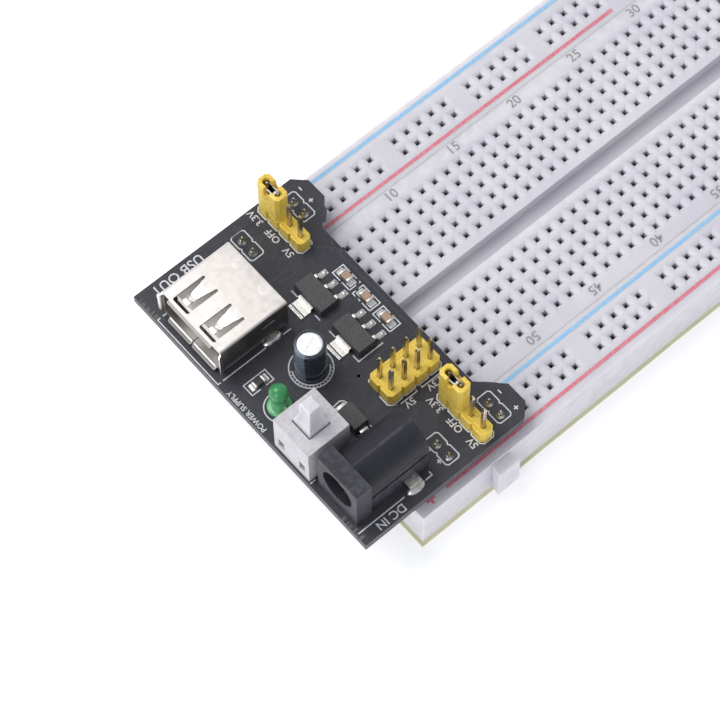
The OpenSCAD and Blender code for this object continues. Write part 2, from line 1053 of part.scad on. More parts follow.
module regulator_case(at) {
    half_top = 1.6;
    half_mid = 1.75;
    low = 0.1;
    high = 1.7;
    split = 0.85;
    color("dimgray")
        at_pcb(at)
            along_y(regulator_l)
                polygon([
                    [-half_top, low], [half_top, low], [half_mid, split], [half_top, high],
                    [-half_top, high], [-half_mid, split]
                ]);
}

// One bent lead that leaves a case of half width "half" and lands on the circuit board.
module bent_lead(half, reach, width, z = 0.85) {
    t = 0.25;
    knee = half + 0.55;
    along_y(width)
        polygon([
            [half, z - t / 2], [knee - t, z - t / 2], [knee - t, 0], [reach, 0],
            [reach, t], [knee, t], [knee, z + t / 2], [half, z + t / 2]
        ]);
}

module regulator_leads(at) {
    half = 1.75;
    reach = 3.5;
    lead_step = 2.3;
    color("silver")
        at_pcb(at) {
            for (y = [-lead_step, 0, lead_step])
                translate([0, y, 0])
                    bent_lead(half, reach, 0.7);
            mirror([1, 0, 0])
                bent_lead(half, reach, 3);
        }
}

module regulator_left_case() {
    regulator_case(regulator_left_at);
}

module regulator_left_leads() {
    regulator_leads(regulator_left_at);
}

module regulator_right_case() {
    regulator_case(regulator_right_at);
}

module regulator_right_leads() {
    regulator_leads(regulator_right_at);
}

module diode_case() {
    color("dimgray")
        at_pcb(diode_at)
            along_x(2.6)
                polygon([
                    [-2, 0.1], [2, 0.1], [2.15, 1.1], [2, 2.2], [-2, 2.2], [-2.15, 1.1]
                ]);
}

module diode_leads() {
    color("silver")
        at_pcb(diode_at)
            for (turn = [90, -90])
                rotate(turn)
                    bent_lead(2.15, 2.75, 1.4, 1.1);
}

module chip_body(height) {
    box([chip_l - 2 * chip_end, chip_w, height], 0.05);
}

module chip_ends(height) {
    for (side = [-1, 1])
        translate([side * (chip_l - chip_end) / 2, 0, 0])
            box([chip_end, chip_w, height + 0.08], 0);
}

module chip_capacitor_bodies() {
    color("tan")
        for (at = chip_capacitors_at)
            at_pcb(at)
                rotate(90)
                    chip_body(0.85);
}

module chip_capacitor_ends() {
    color("silver")
        for (at = chip_capacitors_at)
            at_pcb(at)
                rotate(90)
                    chip_ends(0.85);
}

module chip_resistor_body() {
    color("black")
        at_pcb(chip_resistor_at)
            chip_body(0.5);
}

module chip_resistor_ends() {
    color("silver")
        at_pcb(chip_resistor_at)
            chip_ends(0.5);
}

terminal_strip();
power_rail_left();
power_rail_right();
terminal_clips_left();
terminal_clips_right();
rail_contacts_left();
rail_contacts_right();
foam_pad();
release_liner();
circuit_board();
rail_header_spacers();
rail_header_pins();
solder_joints();
usb_shell();
usb_insulator();
usb_contacts();
jack_housing();
jack_center_pin();
jack_sleeve_contact();
jack_switch_contact();
switch_housing();
switch_terminals();
switch_spring();
switch_plunger();
capacitor_can();
capacitor_sleeve();
capacitor_winding();
capacitor_bung();
capacitor_leads();
led_lens();
led_leads();
regulator_left_case();
regulator_left_leads();
regulator_right_case();
regulator_right_leads();
diode_case();
diode_leads();
chip_capacitor_bodies();
chip_capacitor_ends();
chip_resistor_body();
chip_resistor_ends();
output_header_base();
output_header_pins();
selector_left_base();
selector_left_pins();
selector_right_base();
selector_right_pins();
jumper_left_cap();
jumper_left_clip();
jumper_right_cap();
jumper_right_clip();
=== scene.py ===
"""Looks of a solderless breadboard with a plug-in power module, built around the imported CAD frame.

Every mesh is built in millimetres in the CAD frame and stored in metres. +X runs along the board, the power
module is at the -X end, "left" is the +Y side and "right" the -Y side.
"""

import math
import random

import bmesh
import bpy
from mathutils import Matrix, Quaternion, Vector, noise


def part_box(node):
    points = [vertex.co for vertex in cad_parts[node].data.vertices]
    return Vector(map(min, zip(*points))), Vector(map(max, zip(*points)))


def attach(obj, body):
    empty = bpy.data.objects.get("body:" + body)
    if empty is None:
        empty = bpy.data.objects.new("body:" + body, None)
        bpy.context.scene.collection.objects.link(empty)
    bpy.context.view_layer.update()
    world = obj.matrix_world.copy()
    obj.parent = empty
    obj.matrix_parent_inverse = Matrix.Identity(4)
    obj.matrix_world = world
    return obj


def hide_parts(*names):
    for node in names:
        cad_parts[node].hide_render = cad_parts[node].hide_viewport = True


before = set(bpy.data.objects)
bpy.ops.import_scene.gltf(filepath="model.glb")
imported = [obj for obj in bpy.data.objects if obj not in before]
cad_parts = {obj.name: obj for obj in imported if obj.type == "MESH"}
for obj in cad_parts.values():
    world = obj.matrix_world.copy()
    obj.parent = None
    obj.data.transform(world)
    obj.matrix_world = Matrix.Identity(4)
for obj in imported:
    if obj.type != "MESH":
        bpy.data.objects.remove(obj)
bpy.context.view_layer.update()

# ---------------------------------------------------------------- driving dimensions, in millimetres

MM = 0.001
COLUMNS = 59
PITCH = 2.54
ROWS = 5
FIRST_ROW_Y = 3.81
RAIL_ROWS_Y = (20.92, 23.46)
RAIL_GROUP = 5
HOLE = 0.85
SKIN = 1.5
CHANNEL_W = 3.0
CHANNEL_DEPTH = 2.6
CAVITY_W = 2.0
FUNNEL = ((1.19, 0.0), (0.93, 0.06), (0.64, 0.24), (0.425, 0.42))
EDGE_R = 0.07
END_DRAW = 0.75
TAB_X = 66.55
TAB_Y = 8.0
TAB_ROOT, TAB_TIP, TAB_OUT = 3.2, 4.2, 1.9
TAB_LOW, TAB_HIGH = 0.7, 7.6
TAB_GAP = 0.1
PIN = 0.64
LEFT, RIGHT = 1, -1
INK_T = 0.02
SILK_W = 0.2
LETTER_WEIGHT = 0.02


def box_mm(node):
    """The lowest and highest corner of a CAD node, in millimetres."""
    low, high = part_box(node)
    return low / MM, high / MM


def middle(node):
    """The centre of a CAD node's box, in millimetres."""
    low, high = box_mm(node)
    return (low + high) / 2


def plan_centre(low, high):
    """The middle of a box, seen from above."""
    return (low.x + high.x) / 2, (low.y + high.y) / 2


strip_low, strip_high = box_mm("terminal_strip")
rail_low, rail_high = box_mm("power_rail_left")
pcb_low, pcb_high = box_mm("circuit_board")
BOARD_BOTTOM, BOARD_TOP = strip_low.z, strip_high.z
BOARD_L = rail_high.x - rail_low.x
STRIP_Y = strip_high.y
RAIL_IN = STRIP_Y + 0.01
RAIL_OUT = rail_high.y
PCB_TOP = pcb_high.z
CEILING = BOARD_TOP - SKIN
LAST = (COLUMNS - 1) // 2
RAIL_SPLIT = COLUMNS // 2
CLIP_L = (ROWS - 1) * PITCH + 2.5
HALF_RAIL_L = (RAIL_SPLIT - 1) * PITCH + 2.5
HALF_RAIL_X = (LAST - (RAIL_SPLIT - 1) / 2) * PITCH
ROW_Y = [FIRST_ROW_Y + j * PITCH for j in range(ROWS)]
ROW_MIDDLE = sum(ROW_Y) / ROWS


def column_x(i):
    return (i - LAST) * PITCH


def in_rail_group(i):
    return i % (RAIL_GROUP + 1) < RAIL_GROUP


def rail_pin_places():
    """Where the module's header pins go into the rails."""
    return [
        (column_x(i), side * y) for i in (4, 0) for y in RAIL_ROWS_Y for side in (LEFT, RIGHT)
    ]


# ---------------------------------------------------------------- mesh tools


class Solid:
    """Collects faces given by points in millimetres, and shares the corners that coincide."""

    def __init__(self):
        self.corners = []
        self.known = {}
        self.faces = []

    def corner(self, point):
        key = tuple(round(c, 4) for c in point)
        if key not in self.known:
            self.known[key] = len(self.corners)
            self.corners.append(key)
        return self.known[key]

    def face(self, *points):
        loop = [self.corner(p) for p in points]
        loop = [a for a, b in zip(loop, loop[1:] + loop[:1]) if a != b]
        if len(loop) > 2:
            self.faces.append(loop)

    def loft(self, rings, first_cap=True, last_cap=True, closed_path=False):
        """Skins a list of rings, each a list of points of one length."""
        pairs = list(zip(rings, rings[1:]))
        if closed_path:
            pairs.append((rings[-1], rings[0]))
            first_cap = last_cap = False
        for low, high in pairs:
            for k in range(len(low)):
                m = (k + 1) % len(low)
                self.face(low[k], low[m], high[m], high[k])
        if first_cap:
            self.face(*reversed(rings[0]))
        if last_cap:
            self.face(*rings[-1])

    def prism(self, outline, z_low, z_high, low_r=0.0, high_r=0.0, steps=3):
        """An outline pulled up from z_low to z_high, its bottom and top edges rounded."""
        levels = edge_levels(z_low, z_high, low_r, high_r, steps)
        self.loft([at_height(inset(outline, d), z) for d, z in levels])

    def block(self, low, high, r=0.0, corner_r=0.0):
        """A box with rounded edges, from its lowest to its highest corner."""
        outline = rounded_rectangle(low[0], low[1], high[0], high[1], max(corner_r, r * 1.01))
        self.prism(outline, low[2], high[2], r, r)

    def lathe(self, at, profile, sides=32, caps=(True, True)):
        """A profile of (radius, height) pairs turned round a vertical axis through at."""
        rings = [
            [
                (at[0] + r * math.cos(a), at[1] + r * math.sin(a), at[2] + z)
                for a in turns(sides)
            ]
            for r, z in profile
        ]
        self.loft(rings, *caps)


def turns(count, start=0.0):
    return [start + math.tau * k / count for k in range(count)]


def at_height(outline, z):
    return [(x, y, z) for x, y in outline]


def edge_levels(z_low, z_high, low_r, high_r, steps):
    """(inset, height) pairs that round the bottom and top edges of a prism."""
    levels = []
    for k in range(steps + 1 if low_r else 1):
        a = math.pi / 2 * k / steps
        levels.append((low_r * (1 - math.sin(a)), z_low + low_r * (1 - math.cos(a))))
    for k in range(steps + 1 if high_r else 1):
        a = math.pi / 2 * k / steps
        levels.append((high_r * (1 - math.cos(a)), z_high - high_r * (1 - math.sin(a))))
    return levels


def inset(outline, distance):
    """A closed anticlockwise outline moved inwards by a distance, its corners mitred."""
    if not distance:
        return list(outline)
    moved = []
    count = len(outline)
    for k in range(count):
        before, here, after = (Vector(outline[(k + s) % count]) for s in (-1, 0, 1))
        a, b = (here - before).normalized(), (after - here).normalized()
        a, b = Vector((-a.y, a.x)), Vector((-b.y, b.x))
        reach = distance / max(0.3, 1 + a.dot(b))
        moved.append(tuple(here + (a + b) * reach))
    return moved


def rounded_rectangle(x_low, y_low, x_high, y_high, r, steps=3):
    points = []
    corners = ((x_high, y_high, 0), (x_low, y_high, 1), (x_low, y_low, 2), (x_high, y_low, 3))
    for x, y, quarter in corners:
        cx = x - r if x == x_high else x + r
        cy = y - r if y == y_high else y + r
        for k in range(steps + 1 if r else 1):
            a = math.pi / 2 * (quarter + k / steps)
            points.append((cx + r * math.cos(a), cy + r * math.sin(a)))
    return points


def cut_rectangle(cx, cy, width, length, cut):
    """A rectangle whose corners are cut off at 45 degrees."""
    w, h = width / 2, length / 2
    offsets = (
        (w, -h + cut), (w, h - cut), (w - cut, h), (-w + cut, h),
        (-w, h - cut), (-w, -h + cut), (-w + cut, -h), (w - cut, -h),
    )
    return [(cx + x, cy + y) for x, y in offsets]


def stroke(solid, points, width, z, height, closed=False):
    """A line of the given width along points, as a thin raised strip."""
    path = [Vector(p) for p in points]
    count = len(path)
    sides = ([], [])
    for k in range(count):
        before = path[k - 1] if closed or k else path[0] - (path[1] - path[0])
        after = path[(k + 1) % count] if closed or k < count - 1 else path[-1] + (path[-1] - path[-2])
        a, b = (path[k] - before).normalized(), (after - path[k]).normalized()
        a, b = Vector((-a.y, a.x)), Vector((-b.y, b.x))
        reach = (a + b) * (width / 2 / max(0.3, 1 + a.dot(b)))
        sides[0].append(tuple(path[k] + reach))
        sides[1].append(tuple(path[k] - reach))
    quads = count if closed else count - 1
    for k in range(quads):
        m = (k + 1) % count
        for level in (z, z + height):
            quad = (sides[0][k], sides[0][m], sides[1][m], sides[1][k])
            solid.face(*at_height(quad, level))
        for side in sides:
            solid.face(*at_height((side[k], side[m]), z), *at_height((side[m], side[k]), z + height))
    if not closed:
        for k in (0, -1):
            ends = (sides[0][k], sides[1][k])
            solid.face(*at_height(ends, z), *at_height(reversed(ends), z + height))


def arc(cx, cy, r, start, end, steps=16):
    """Points along an arc, its angles in degrees."""
    angles = [math.radians(start + (end - start) * k / steps) for k in range(steps + 1)]
    return [(cx + r * math.cos(a), cy + r * math.sin(a)) for a in angles]


def placed(name, data):
    """A new object of the scene that shows the given data."""
    made = bpy.data.objects.new(name, data)
    bpy.context.scene.collection.objects.link(made)
    return made


def baked(made):
    """The mesh of an object with its modifiers, or its letters, worked out."""
    graph = bpy.context.evaluated_depsgraph_get()
    return bpy.data.meshes.new_from_object(made.evaluated_get(graph))


def smooth(mesh, angle=32.0):
    """Smooth shading, with the edges sharper than the angle kept crisp."""
    for polygon in mesh.polygons:
        polygon.use_smooth = True
    mesh.set_sharp_from_angle(angle=math.radians(angle))


def flatten_faces(made):
    """Large flat faces keep their own normals, so that only the rounded edges shade as curves."""
    step = made.modifiers.new("face_normals", "WEIGHTED_NORMAL")
    step.mode, step.weight, step.keep_sharp = "FACE_AREA", 100, True
    mesh = baked(made)
    made.modifiers.clear()
    made.data = mesh


def piece(name, solid, angle=32.0):
    """A new object from a Solid, with its faces turned outwards."""
    mesh = bpy.data.meshes.new(name)
    mesh.from_pydata([Vector(c) * MM for c in solid.corners], [], solid.faces)
    work = bmesh.new()
    work.from_mesh(mesh)
    bmesh.ops.recalc_face_normals(work, faces=work.faces)
    work.to_mesh(mesh)
    work.free()
    smooth(mesh, angle)
    return placed(name, mesh)


def hand_over(made, body, slot, material, *nodes):
    """Gives a piece its material and its body, evens its face normals, and hides the CAD nodes that it stands
    for. The slot is not used.
    """
    flatten_faces(made)
    made.data.materials.clear()
    made.data.materials.append(material)
    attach(made, body)
    if nodes:
        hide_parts(*nodes)
    return made


def refined(node, width, angle=30.0, segments=2):
    """A new mesh from a CAD node, with its edges rounded as moulded, pressed or plated edges are."""
    work = bmesh.new()
    work.from_mesh(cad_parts[node].data)
    bmesh.ops.remove_doubles(work, verts=work.verts, dist=1e-6)
    bmesh.ops.dissolve_limit(
        work, angle_limit=math.radians(1), verts=work.verts, edges=work.edges
    )
    crisp = [
        e for e in work.edges
        if len(e.link_faces) == 2 and e.calc_face_angle(0) > math.radians(angle)
    ]
    bmesh.ops.bevel(
        work, geom=crisp, offset=width * MM, offset_type="OFFSET", segments=segments,
        profile=0.5, affect="EDGES", clamp_overlap=True,
    )
    mesh = bpy.data.meshes.new(node)
    work.to_mesh(mesh)
    work.free()
    smooth(mesh, 40)
    return placed(node + "_shape", mesh)


def softened(node, width, slot, material, **how):
    """A CAD node of the power module with rounded edges, handed over under its own name."""
    hand_over(refined(node, width, **how), "power_module", slot, material, node)


def combine(target, tools, operation):
    """Joins the tool pieces to the target, or cuts them out of it, and removes them."""
    for tool in tools:
        step = target.modifiers.new(operation.lower(), "BOOLEAN")
        step.operation, step.solver, step.object = operation, "MANIFOLD", tool
    mesh = baked(target)
    target.modifiers.clear()
    target.data = mesh
    smooth(mesh)
    for tool in tools:
        bpy.data.objects.remove(tool)
    return target


def words(name, text, at, size, turn, z, thickness=INK_T, spacing=1.0):
    """Printed letters as thin raised meshes, centred at a place and turned by degrees."""
    curve = bpy.data.curves.new(name, "FONT")
    curve.body, curve.size = text, size * MM
    curve.align_x, curve.align_y = "CENTER", "CENTER"
    curve.extrude = thickness / 2 * MM
    curve.resolution_u = 3
    curve.space_character = spacing
    curve.offset = LETTER_WEIGHT * MM
    holder = placed(name + "_text", curve)
    mesh = baked(holder)
    bpy.data.objects.remove(holder)
    place = Matrix.Translation(Vector((at[0], at[1], z + thickness / 2)) * MM)
    mesh.transform(place @ Matrix.Rotation(math.radians(turn), 4, "Z"))
    return mesh


def joined(name, meshes):
    """One object made of several meshes."""
    work = bmesh.new()
    for mesh in meshes:
        work.from_mesh(mesh)
    bmesh.ops.remove_doubles(work, verts=work.verts, dist=1e-7)
    mesh = bpy.data.meshes.new(name)
    work.to_mesh(mesh)
    work.free()
    smooth(mesh, 20)
    return placed(name, mesh)


# ---------------------------------------------------------------- material tools


def srgb(red, green, blue):
    """A display colour, 0 to 255, as a linear colour."""
    parts = [c / 255 for c in (red, green, blue)]
    return tuple(c / 12.92 if c <= 0.04045 else ((c + 0.055) / 1.055) ** 2.4 for c in parts) + (1.0,)


class Look:
    """A node material under construction."""

    def __init__(self, name):
        self.material = bpy.data.materials.new(name)
        self.material.use_nodes = True
        self.tree = self.material.node_tree
        self.tree.nodes.clear()
        self.shader = self.tree.nodes.new("ShaderNodeBsdfPrincipled")
        output = self.tree.nodes.new("ShaderNodeOutputMaterial")
        self.tree.links.new(self.shader.outputs["BSDF"], output.inputs["Surface"])
        self.place = self.tree.nodes.new("ShaderNodeTexCoord").outputs["Object"]

    def feed(self, socket, value):
        if isinstance(value, bpy.types.NodeSocket):
            self.tree.links.new(value, socket)
        else:
            socket.default_value = value

    def node(self, kind, inputs, **settings):
        made = self.tree.nodes.new(kind)
        for key, value in settings.items():
            setattr(made, key, value)
        for key, value in inputs.items():
            self.feed(made.inputs[key], value)
        return made

    def stretched(self, x, y, z):
        """The place, scaled along each axis."""
        return self.node("ShaderNodeMapping", {"Vector": self.place, "Scale": (x, y, z)}).outputs[0]

    def grain(self, scale, detail=3.0, rough=0.55, place=None):
        """Noise with about that many features a metre."""
        inputs = {"Vector": place or self.place, "Scale": scale, "Detail": detail, "Roughness": rough}
        return self.node("ShaderNodeTexNoise", inputs).outputs["Fac"]

    def curve(self, value, low, high, start=0.0, end=1.0):
        """A value from low..high, eased into start..end and kept between them."""
        inputs = {"Value": value, "From Min": low, "From Max": high, "To Min": start, "To Max": end}
        made = self.node("ShaderNodeMapRange", inputs, interpolation_type="SMOOTHSTEP")
        return made.outputs["Result"]

    def blend(self, share, first, second, mode="MIX"):
        made = self.node("ShaderNodeMix", {}, data_type="RGBA", blend_type=mode)
        for socket, value in ((made.inputs[0], share), (made.inputs[6], first), (made.inputs[7], second)):
            self.feed(socket, value)
        return made.outputs[2]

    def sum(self, first, second, operation="ADD"):
        made = self.tree.nodes.new("ShaderNodeMath")
        made.operation = operation
        self.feed(made.inputs[0], first)
        self.feed(made.inputs[1], second)
        return made.outputs[0]

    def edges(self, low=0.505, high=0.56):
        """0 on flat faces and 1 on outer edges."""
        made = self.tree.nodes.new("ShaderNodeNewGeometry")
        return self.curve(made.outputs["Pointiness"], low, high)

    def relief(self, height, depth, strength=1.0):
        """Bump of a height map whose full range is that many millimetres."""
        inputs = {"Height": height, "Distance": depth * MM, "Strength": strength}
        self.feed(self.shader.inputs["Normal"], self.node("ShaderNodeBump", inputs).outputs[0])

    def set(self, **inputs):
        for key, value in inputs.items():
            self.feed(self.shader.inputs[key.replace("_", " ")], value)
        return self


def base_look(name, colour, other, edge_wear_and_highlight, rough, patches=250.0, grain=3500.0, depth=0.01, worn=0.5):
    """Two close colours in soft patches, fine grain in the gloss and the surface, and lighter edges, partly
    wear and partly a painted highlight.
    """
    look = Look(name)
    patch = look.curve(look.grain(patches), 0.35, 0.65)
    fine = look.grain(grain, 4.0)
    # Convex edges are blended towards the edge colour, broken up by noise: worn edges and a painted edge
    # highlight.
    edge = look.edges()
    broken = look.sum(edge, look.curve(look.grain(patches * 6), 0.35, 0.7, 0.25, worn), "MULTIPLY")
    tone = look.blend(patch, colour, other)
    look.colour = look.blend(broken, tone, edge_wear_and_highlight)
    look.fine = fine
    look.set(Base_Color=look.colour, Roughness=look.curve(fine, 0.3, 0.7, rough[0], rough[1]))
    look.relief(fine, depth)
    return look


MADE = {}


def shared(make):
    """One material for all the pieces that use it."""
    if make not in MADE:
        MADE[make] = make()
    return MADE[make]


def board_plastic(name="moulded_abs"):
    """Off-white moulded ABS with a faint lavender cast, fine spark-eroded grain and lighter ridges, partly
    worn and partly a painted highlight.
    """
    look = base_look(
        name, srgb(208, 205, 211), srgb(201, 199, 207), srgb(220, 218, 222), (0.42, 0.56),
        patches=90.0, grain=5200.0, depth=0.008, worn=0.8,
    )
    look.set(Specular_IOR_Level=0.4, Subsurface_Weight=0.45, Subsurface_Scale=0.0022)
    look.set(Subsurface_Radius=(1.0, 0.93, 0.9))
    return look.material


def foam_tape():
    """White closed-cell foam with small pores on its cut edge."""
    return base_look(
        "foam_tape", srgb(222, 221, 214), srgb(208, 206, 198), srgb(228, 227, 220), (0.8, 0.95),
        patches=500.0, grain=2600.0, depth=0.08,
    ).material


def liner_paper():
    """Waxed paper, pale yellow, with long soft fibres."""
    return base_look(
        "liner_paper", srgb(235, 232, 196), srgb(226, 222, 178), srgb(240, 238, 214), (0.45, 0.6),
        patches=160.0, grain=1800.0, depth=0.01,
    ).material


def solder_mask(name="solder_mask", lift=0):
    """Black satin lacquer over copper and glass cloth: faint weave, dust, and paler edges, partly bare fibre
    on its rim and partly a painted edge highlight.
    """
    look = base_look(
        name, srgb(33 + lift, 34 + lift, 45 + lift), srgb(38 + lift, 39 + lift, 51 + lift),
        srgb(92, 91, 92), (0.34, 0.46), patches=120.0, grain=2600.0, depth=0.006, worn=0.35,
    )
    cloth = {"Vector": look.place, "Scale": 420.0, "Distortion": 0.6}
    threads = [
        look.node("ShaderNodeTexWave", cloth, bands_direction=way).outputs["Fac"] for way in ("X", "Y")
    ]
    look.relief(look.sum(look.fine, look.sum(look.sum(*threads), 0.25, "MULTIPLY")), 0.006)
    specks = look.curve(look.grain(5200.0, 1.0), 0.74, 0.78)
    look.set(Base_Color=look.blend(look.sum(specks, 0.35, "MULTIPLY"), look.colour, srgb(150, 150, 158)))
    look.set(Specular_IOR_Level=0.28)
    return look.material


def bare_laminate():
    """Glass-fibre board where it was broken off or cut, with ragged fibres."""
    return base_look(
        "bare_laminate", srgb(74, 73, 76), srgb(58, 57, 62), srgb(112, 109, 104), (0.6, 0.85),
        patches=900.0, grain=4200.0, depth=0.08, worn=0.9,
    ).material


def ink(name, colour, worn_colour, worn_from=0.62):
    """Thin print with pinholes and worn spots."""
    look = base_look(name, colour, colour, worn_colour, (0.5, 0.65), patches=300.0, grain=4200.0, depth=0.006)
    worn = look.curve(look.grain(1500.0, 5.0, 0.7), worn_from, worn_from + 0.07)
    look.set(Base_Color=look.blend(worn, look.colour, worn_colour))
    return look.material


def black_plastic(name, colour, other, edge_wear_and_highlight, rough=(0.42, 0.6), depth=0.02):
    """Glass-filled black nylon with a fine moulded grain and paler edges, partly rubbed and partly a painted
    highlight.
    """
    look = base_look(name, colour, other, edge_wear_and_highlight, rough, patches=180.0, grain=4200.0, depth=depth, worn=0.7)
    look.set(Specular_IOR_Level=0.3)
    return look.material


def epoxy_case():
    """Matte grey-black moulding compound with sparkling filler."""
    look = base_look(
        "moulding_compound", srgb(47, 47, 50), srgb(54, 54, 56), srgb(84, 84, 84), (0.5, 0.7),
        patches=500.0, grain=9000.0, depth=0.025, worn=0.6,
    )
    filler = look.curve(look.grain(14000.0, 1.0), 0.68, 0.74)
    look.set(Base_Color=look.blend(look.sum(filler, 0.4, "MULTIPLY"), look.colour, srgb(120, 120, 122)))
    return look.material


def metal(name, colour, other, edge_wear_and_highlight, rough, patches=300.0, grain=3000.0, depth=0.004):
    """Plated or drawn metal: soft tarnish and uneven gloss."""
    look = base_look(name, colour, other, edge_wear_and_highlight, rough, patches, grain, depth, worn=0.9)
    return look.set(Metallic=1.0).material


def usb_nickel():
    """Bright nickel on drawn steel, with faint rolling lines, handling haze, a warm cast, and painted shade
    on the faces towards -Y and low down near the board.
    """
    look = base_look(
        "bright_nickel", srgb(236, 229, 224), srgb(231, 223, 217), srgb(246, 243, 239), (0.28, 0.34),
        patches=60.0, grain=900.0, depth=0.0006, worn=0.6,
    )
    lines = look.grain(60.0, 4.0, 0.6, look.stretched(1.0, 9.0, 9.0))
    look.relief(lines, 0.0004)
    # Painted shade: the faces that look towards -Y and the shell low down near the board are blended towards
    # dark grey.
    facing = look.tree.nodes.new("ShaderNodeNewGeometry").outputs["Normal"]
    sideways = look.node("ShaderNodeSeparateXYZ", {"Vector": facing}).outputs["Y"]
    level = look.node("ShaderNodeSeparateXYZ", {"Vector": look.place}).outputs["Z"]
    shade = look.curve(sideways, -0.85, -0.3, 0.72, 0.0)
    # Painted shade low down: darker towards the bottom of the shell.
    depth = look.curve(level, (PCB_TOP + USB_FLOOR) * MM, (PCB_TOP + 5.0) * MM, 0.62, 0.0)
    painted_shade = look.sum(shade, depth, "MAXIMUM")
    look.set(Base_Color=look.blend(painted_shade, look.colour, srgb(72, 70, 74)), Metallic=1.0)
    return look.material


def tinned_brass():
    """Square header wire: brass showing through thin, streaky tin."""
    look = base_look(
        "tinned_brass", srgb(206, 199, 180), srgb(178, 163, 128), srgb(238, 234, 224), (0.22, 0.36),
        patches=420.0, grain=3000.0, depth=0.004, worn=0.9,
    )
    streaks = look.curve(look.grain(300.0, 3.0, 0.6, look.stretched(6.0, 6.0, 1.0)), 0.4, 0.62)
    look.set(Base_Color=look.blend(streaks, look.colour, srgb(166, 148, 106)), Metallic=1.0)
    return look.material


def solder_tin():
    """Frozen solder: bright, slightly dimpled, with grey flux haze."""
    return metal(
        "solder_tin", srgb(206, 206, 204), srgb(168, 167, 164), srgb(236, 236, 234), (0.2, 0.4),
        patches=1300.0, grain=2400.0, depth=0.03,
    )


def switch_shell():
    """Warm light-grey ABS with a satin grain."""
    return base_look(
        "switch_shell_grey", srgb(178, 175, 180), srgb(172, 169, 174), srgb(204, 202, 205), (0.4, 0.55),
        patches=300.0, grain=4200.0, depth=0.012, worn=0.7,
    ).material


def plunger_white():
    """Translucent natural nylon: light enters its thin edges."""
    look = base_look(
        "natural_nylon", srgb(205, 203, 207), srgb(197, 196, 201), srgb(222, 221, 224), (0.34, 0.46),
        patches=500.0, grain=3000.0, depth=0.008,
    )
    look.set(Subsurface_Weight=0.35, Subsurface_Scale=0.0012, Subsurface_Radius=(1.0, 1.0, 1.1))
    return look.material


def usb_tongue():
    """White glass-filled plastic behind the contacts."""
    return base_look(
        "white_tongue", srgb(232, 230, 224), srgb(222, 219, 211), srgb(240, 239, 235), (0.45, 0.6),
        patches=400.0, grain=3600.0, depth=0.012,
    ).material


def header_yellow(name="header_yellow_plastic", lift=0):
    """Yellow glass-filled nylon, a little deeper where it is thick, with pale edges, partly scuffed and
    partly a painted highlight.
    """
    look = base_look(
        name, srgb(222 + lift, 186 + lift, 52), srgb(208 + lift, 168 + lift, 36), srgb(240, 216, 110),
        (0.36, 0.5), patches=420.0, grain=4800.0, depth=0.014, worn=0.8,
    )
    look.set(Subsurface_Weight=0.05, Subsurface_Scale=0.0005, Subsurface_Radius=(1.0, 0.8, 0.3))
    return look.material


def led_green():
    """Diffused green epoxy, lighter below the dome than on it."""
    look = base_look(
        "led_green_epoxy", srgb(60, 172, 102), srgb(50, 156, 88), srgb(150, 224, 176), (0.16, 0.26),
        patches=700.0, grain=2200.0, depth=0.004, worn=0.8,
    )
    low = box_mm("led_lens")[0]
    # The lower part of the lens is blended towards a paler green, fading out up the dome.
    level = look.node("ShaderNodeSeparateXYZ", {"Vector": look.place}).outputs["Z"]
    clear = look.curve(level, (low.z + 2.2) * MM, (low.z + 3.8) * MM, 0.85, 0.0)
    look.set(Base_Color=look.blend(clear, look.colour, srgb(128, 214, 152)))
    look.set(Transmission_Weight=0.4, IOR=1.52, Subsurface_Weight=0.3, Subsurface_Scale=0.0015)
    look.set(Subsurface_Radius=(0.3, 1.0, 0.5))
    return look.material


STRIPE_TURN = 0.1
STRIPE_HALF = 0.42


def capacitor_film():
    """Dark blue-green shrink film with a pale stripe down its -X side."""
    look = base_look(
        "capacitor_sleeve_film", srgb(22, 30, 37), srgb(17, 24, 31), srgb(62, 72, 84), (0.18, 0.28),
        patches=300.0, grain=1500.0, depth=0.01,
    )
    cx, cy = middle("capacitor_sleeve").xy * MM
    split = look.node("ShaderNodeSeparateXYZ", {"Vector": look.place}).outputs
    east, north = look.sum(split["X"], -cx), look.sum(split["Y"], -cy)
    turn = look.sum(north, look.sum(east, -1.0, "MULTIPLY"), "ARCTAN2")
    off_centre = look.node("ShaderNodeMath", {0: look.sum(turn, STRIPE_TURN)}, operation="ABSOLUTE")
    stripe = look.curve(off_centre.outputs[0], STRIPE_HALF, STRIPE_HALF + 0.05, 1.0, 0.0)
    look.set(Base_Color=look.blend(stripe, look.colour, srgb(92, 102, 118)))
    look.set(Coat_Weight=0.4, Coat_Roughness=0.12)
    return look.material


def bare_aluminium():
    """Drawn aluminium, bright with faint circular lines."""
    return metal(
        "bare_aluminium", srgb(243, 244, 246), srgb(238, 239, 241), srgb(248, 248, 250), (0.32, 0.4),
        patches=200.0, grain=1600.0, depth=0.0015,
    )


def chip_ceramic(name, colour, other, edge_wear_and_highlight):
    """Sintered ceramic with fine speckle."""
    return base_look(
        name, colour, other, edge_wear_and_highlight, (0.35, 0.5), patches=1600.0, grain=8000.0, depth=0.01,
    ).material


def winding():
    """Rolled electrolytic paper, brown and damp."""
    return base_look(
        "rolled_paper", srgb(170, 140, 100), srgb(150, 120, 84), srgb(190, 166, 130), (0.6, 0.8),
        patches=400.0, grain=3000.0, depth=0.03,
    ).material


def soft_rubber():
    """Black rubber with a chalky bloom."""
    return base_look(
        "soft_rubber", srgb(34, 34, 34), srgb(44, 44, 43), srgb(70, 70, 68), (0.65, 0.85),
        patches=500.0, grain=3000.0, depth=0.02,
    ).material


# ---------------------------------------------------------------- breadboard


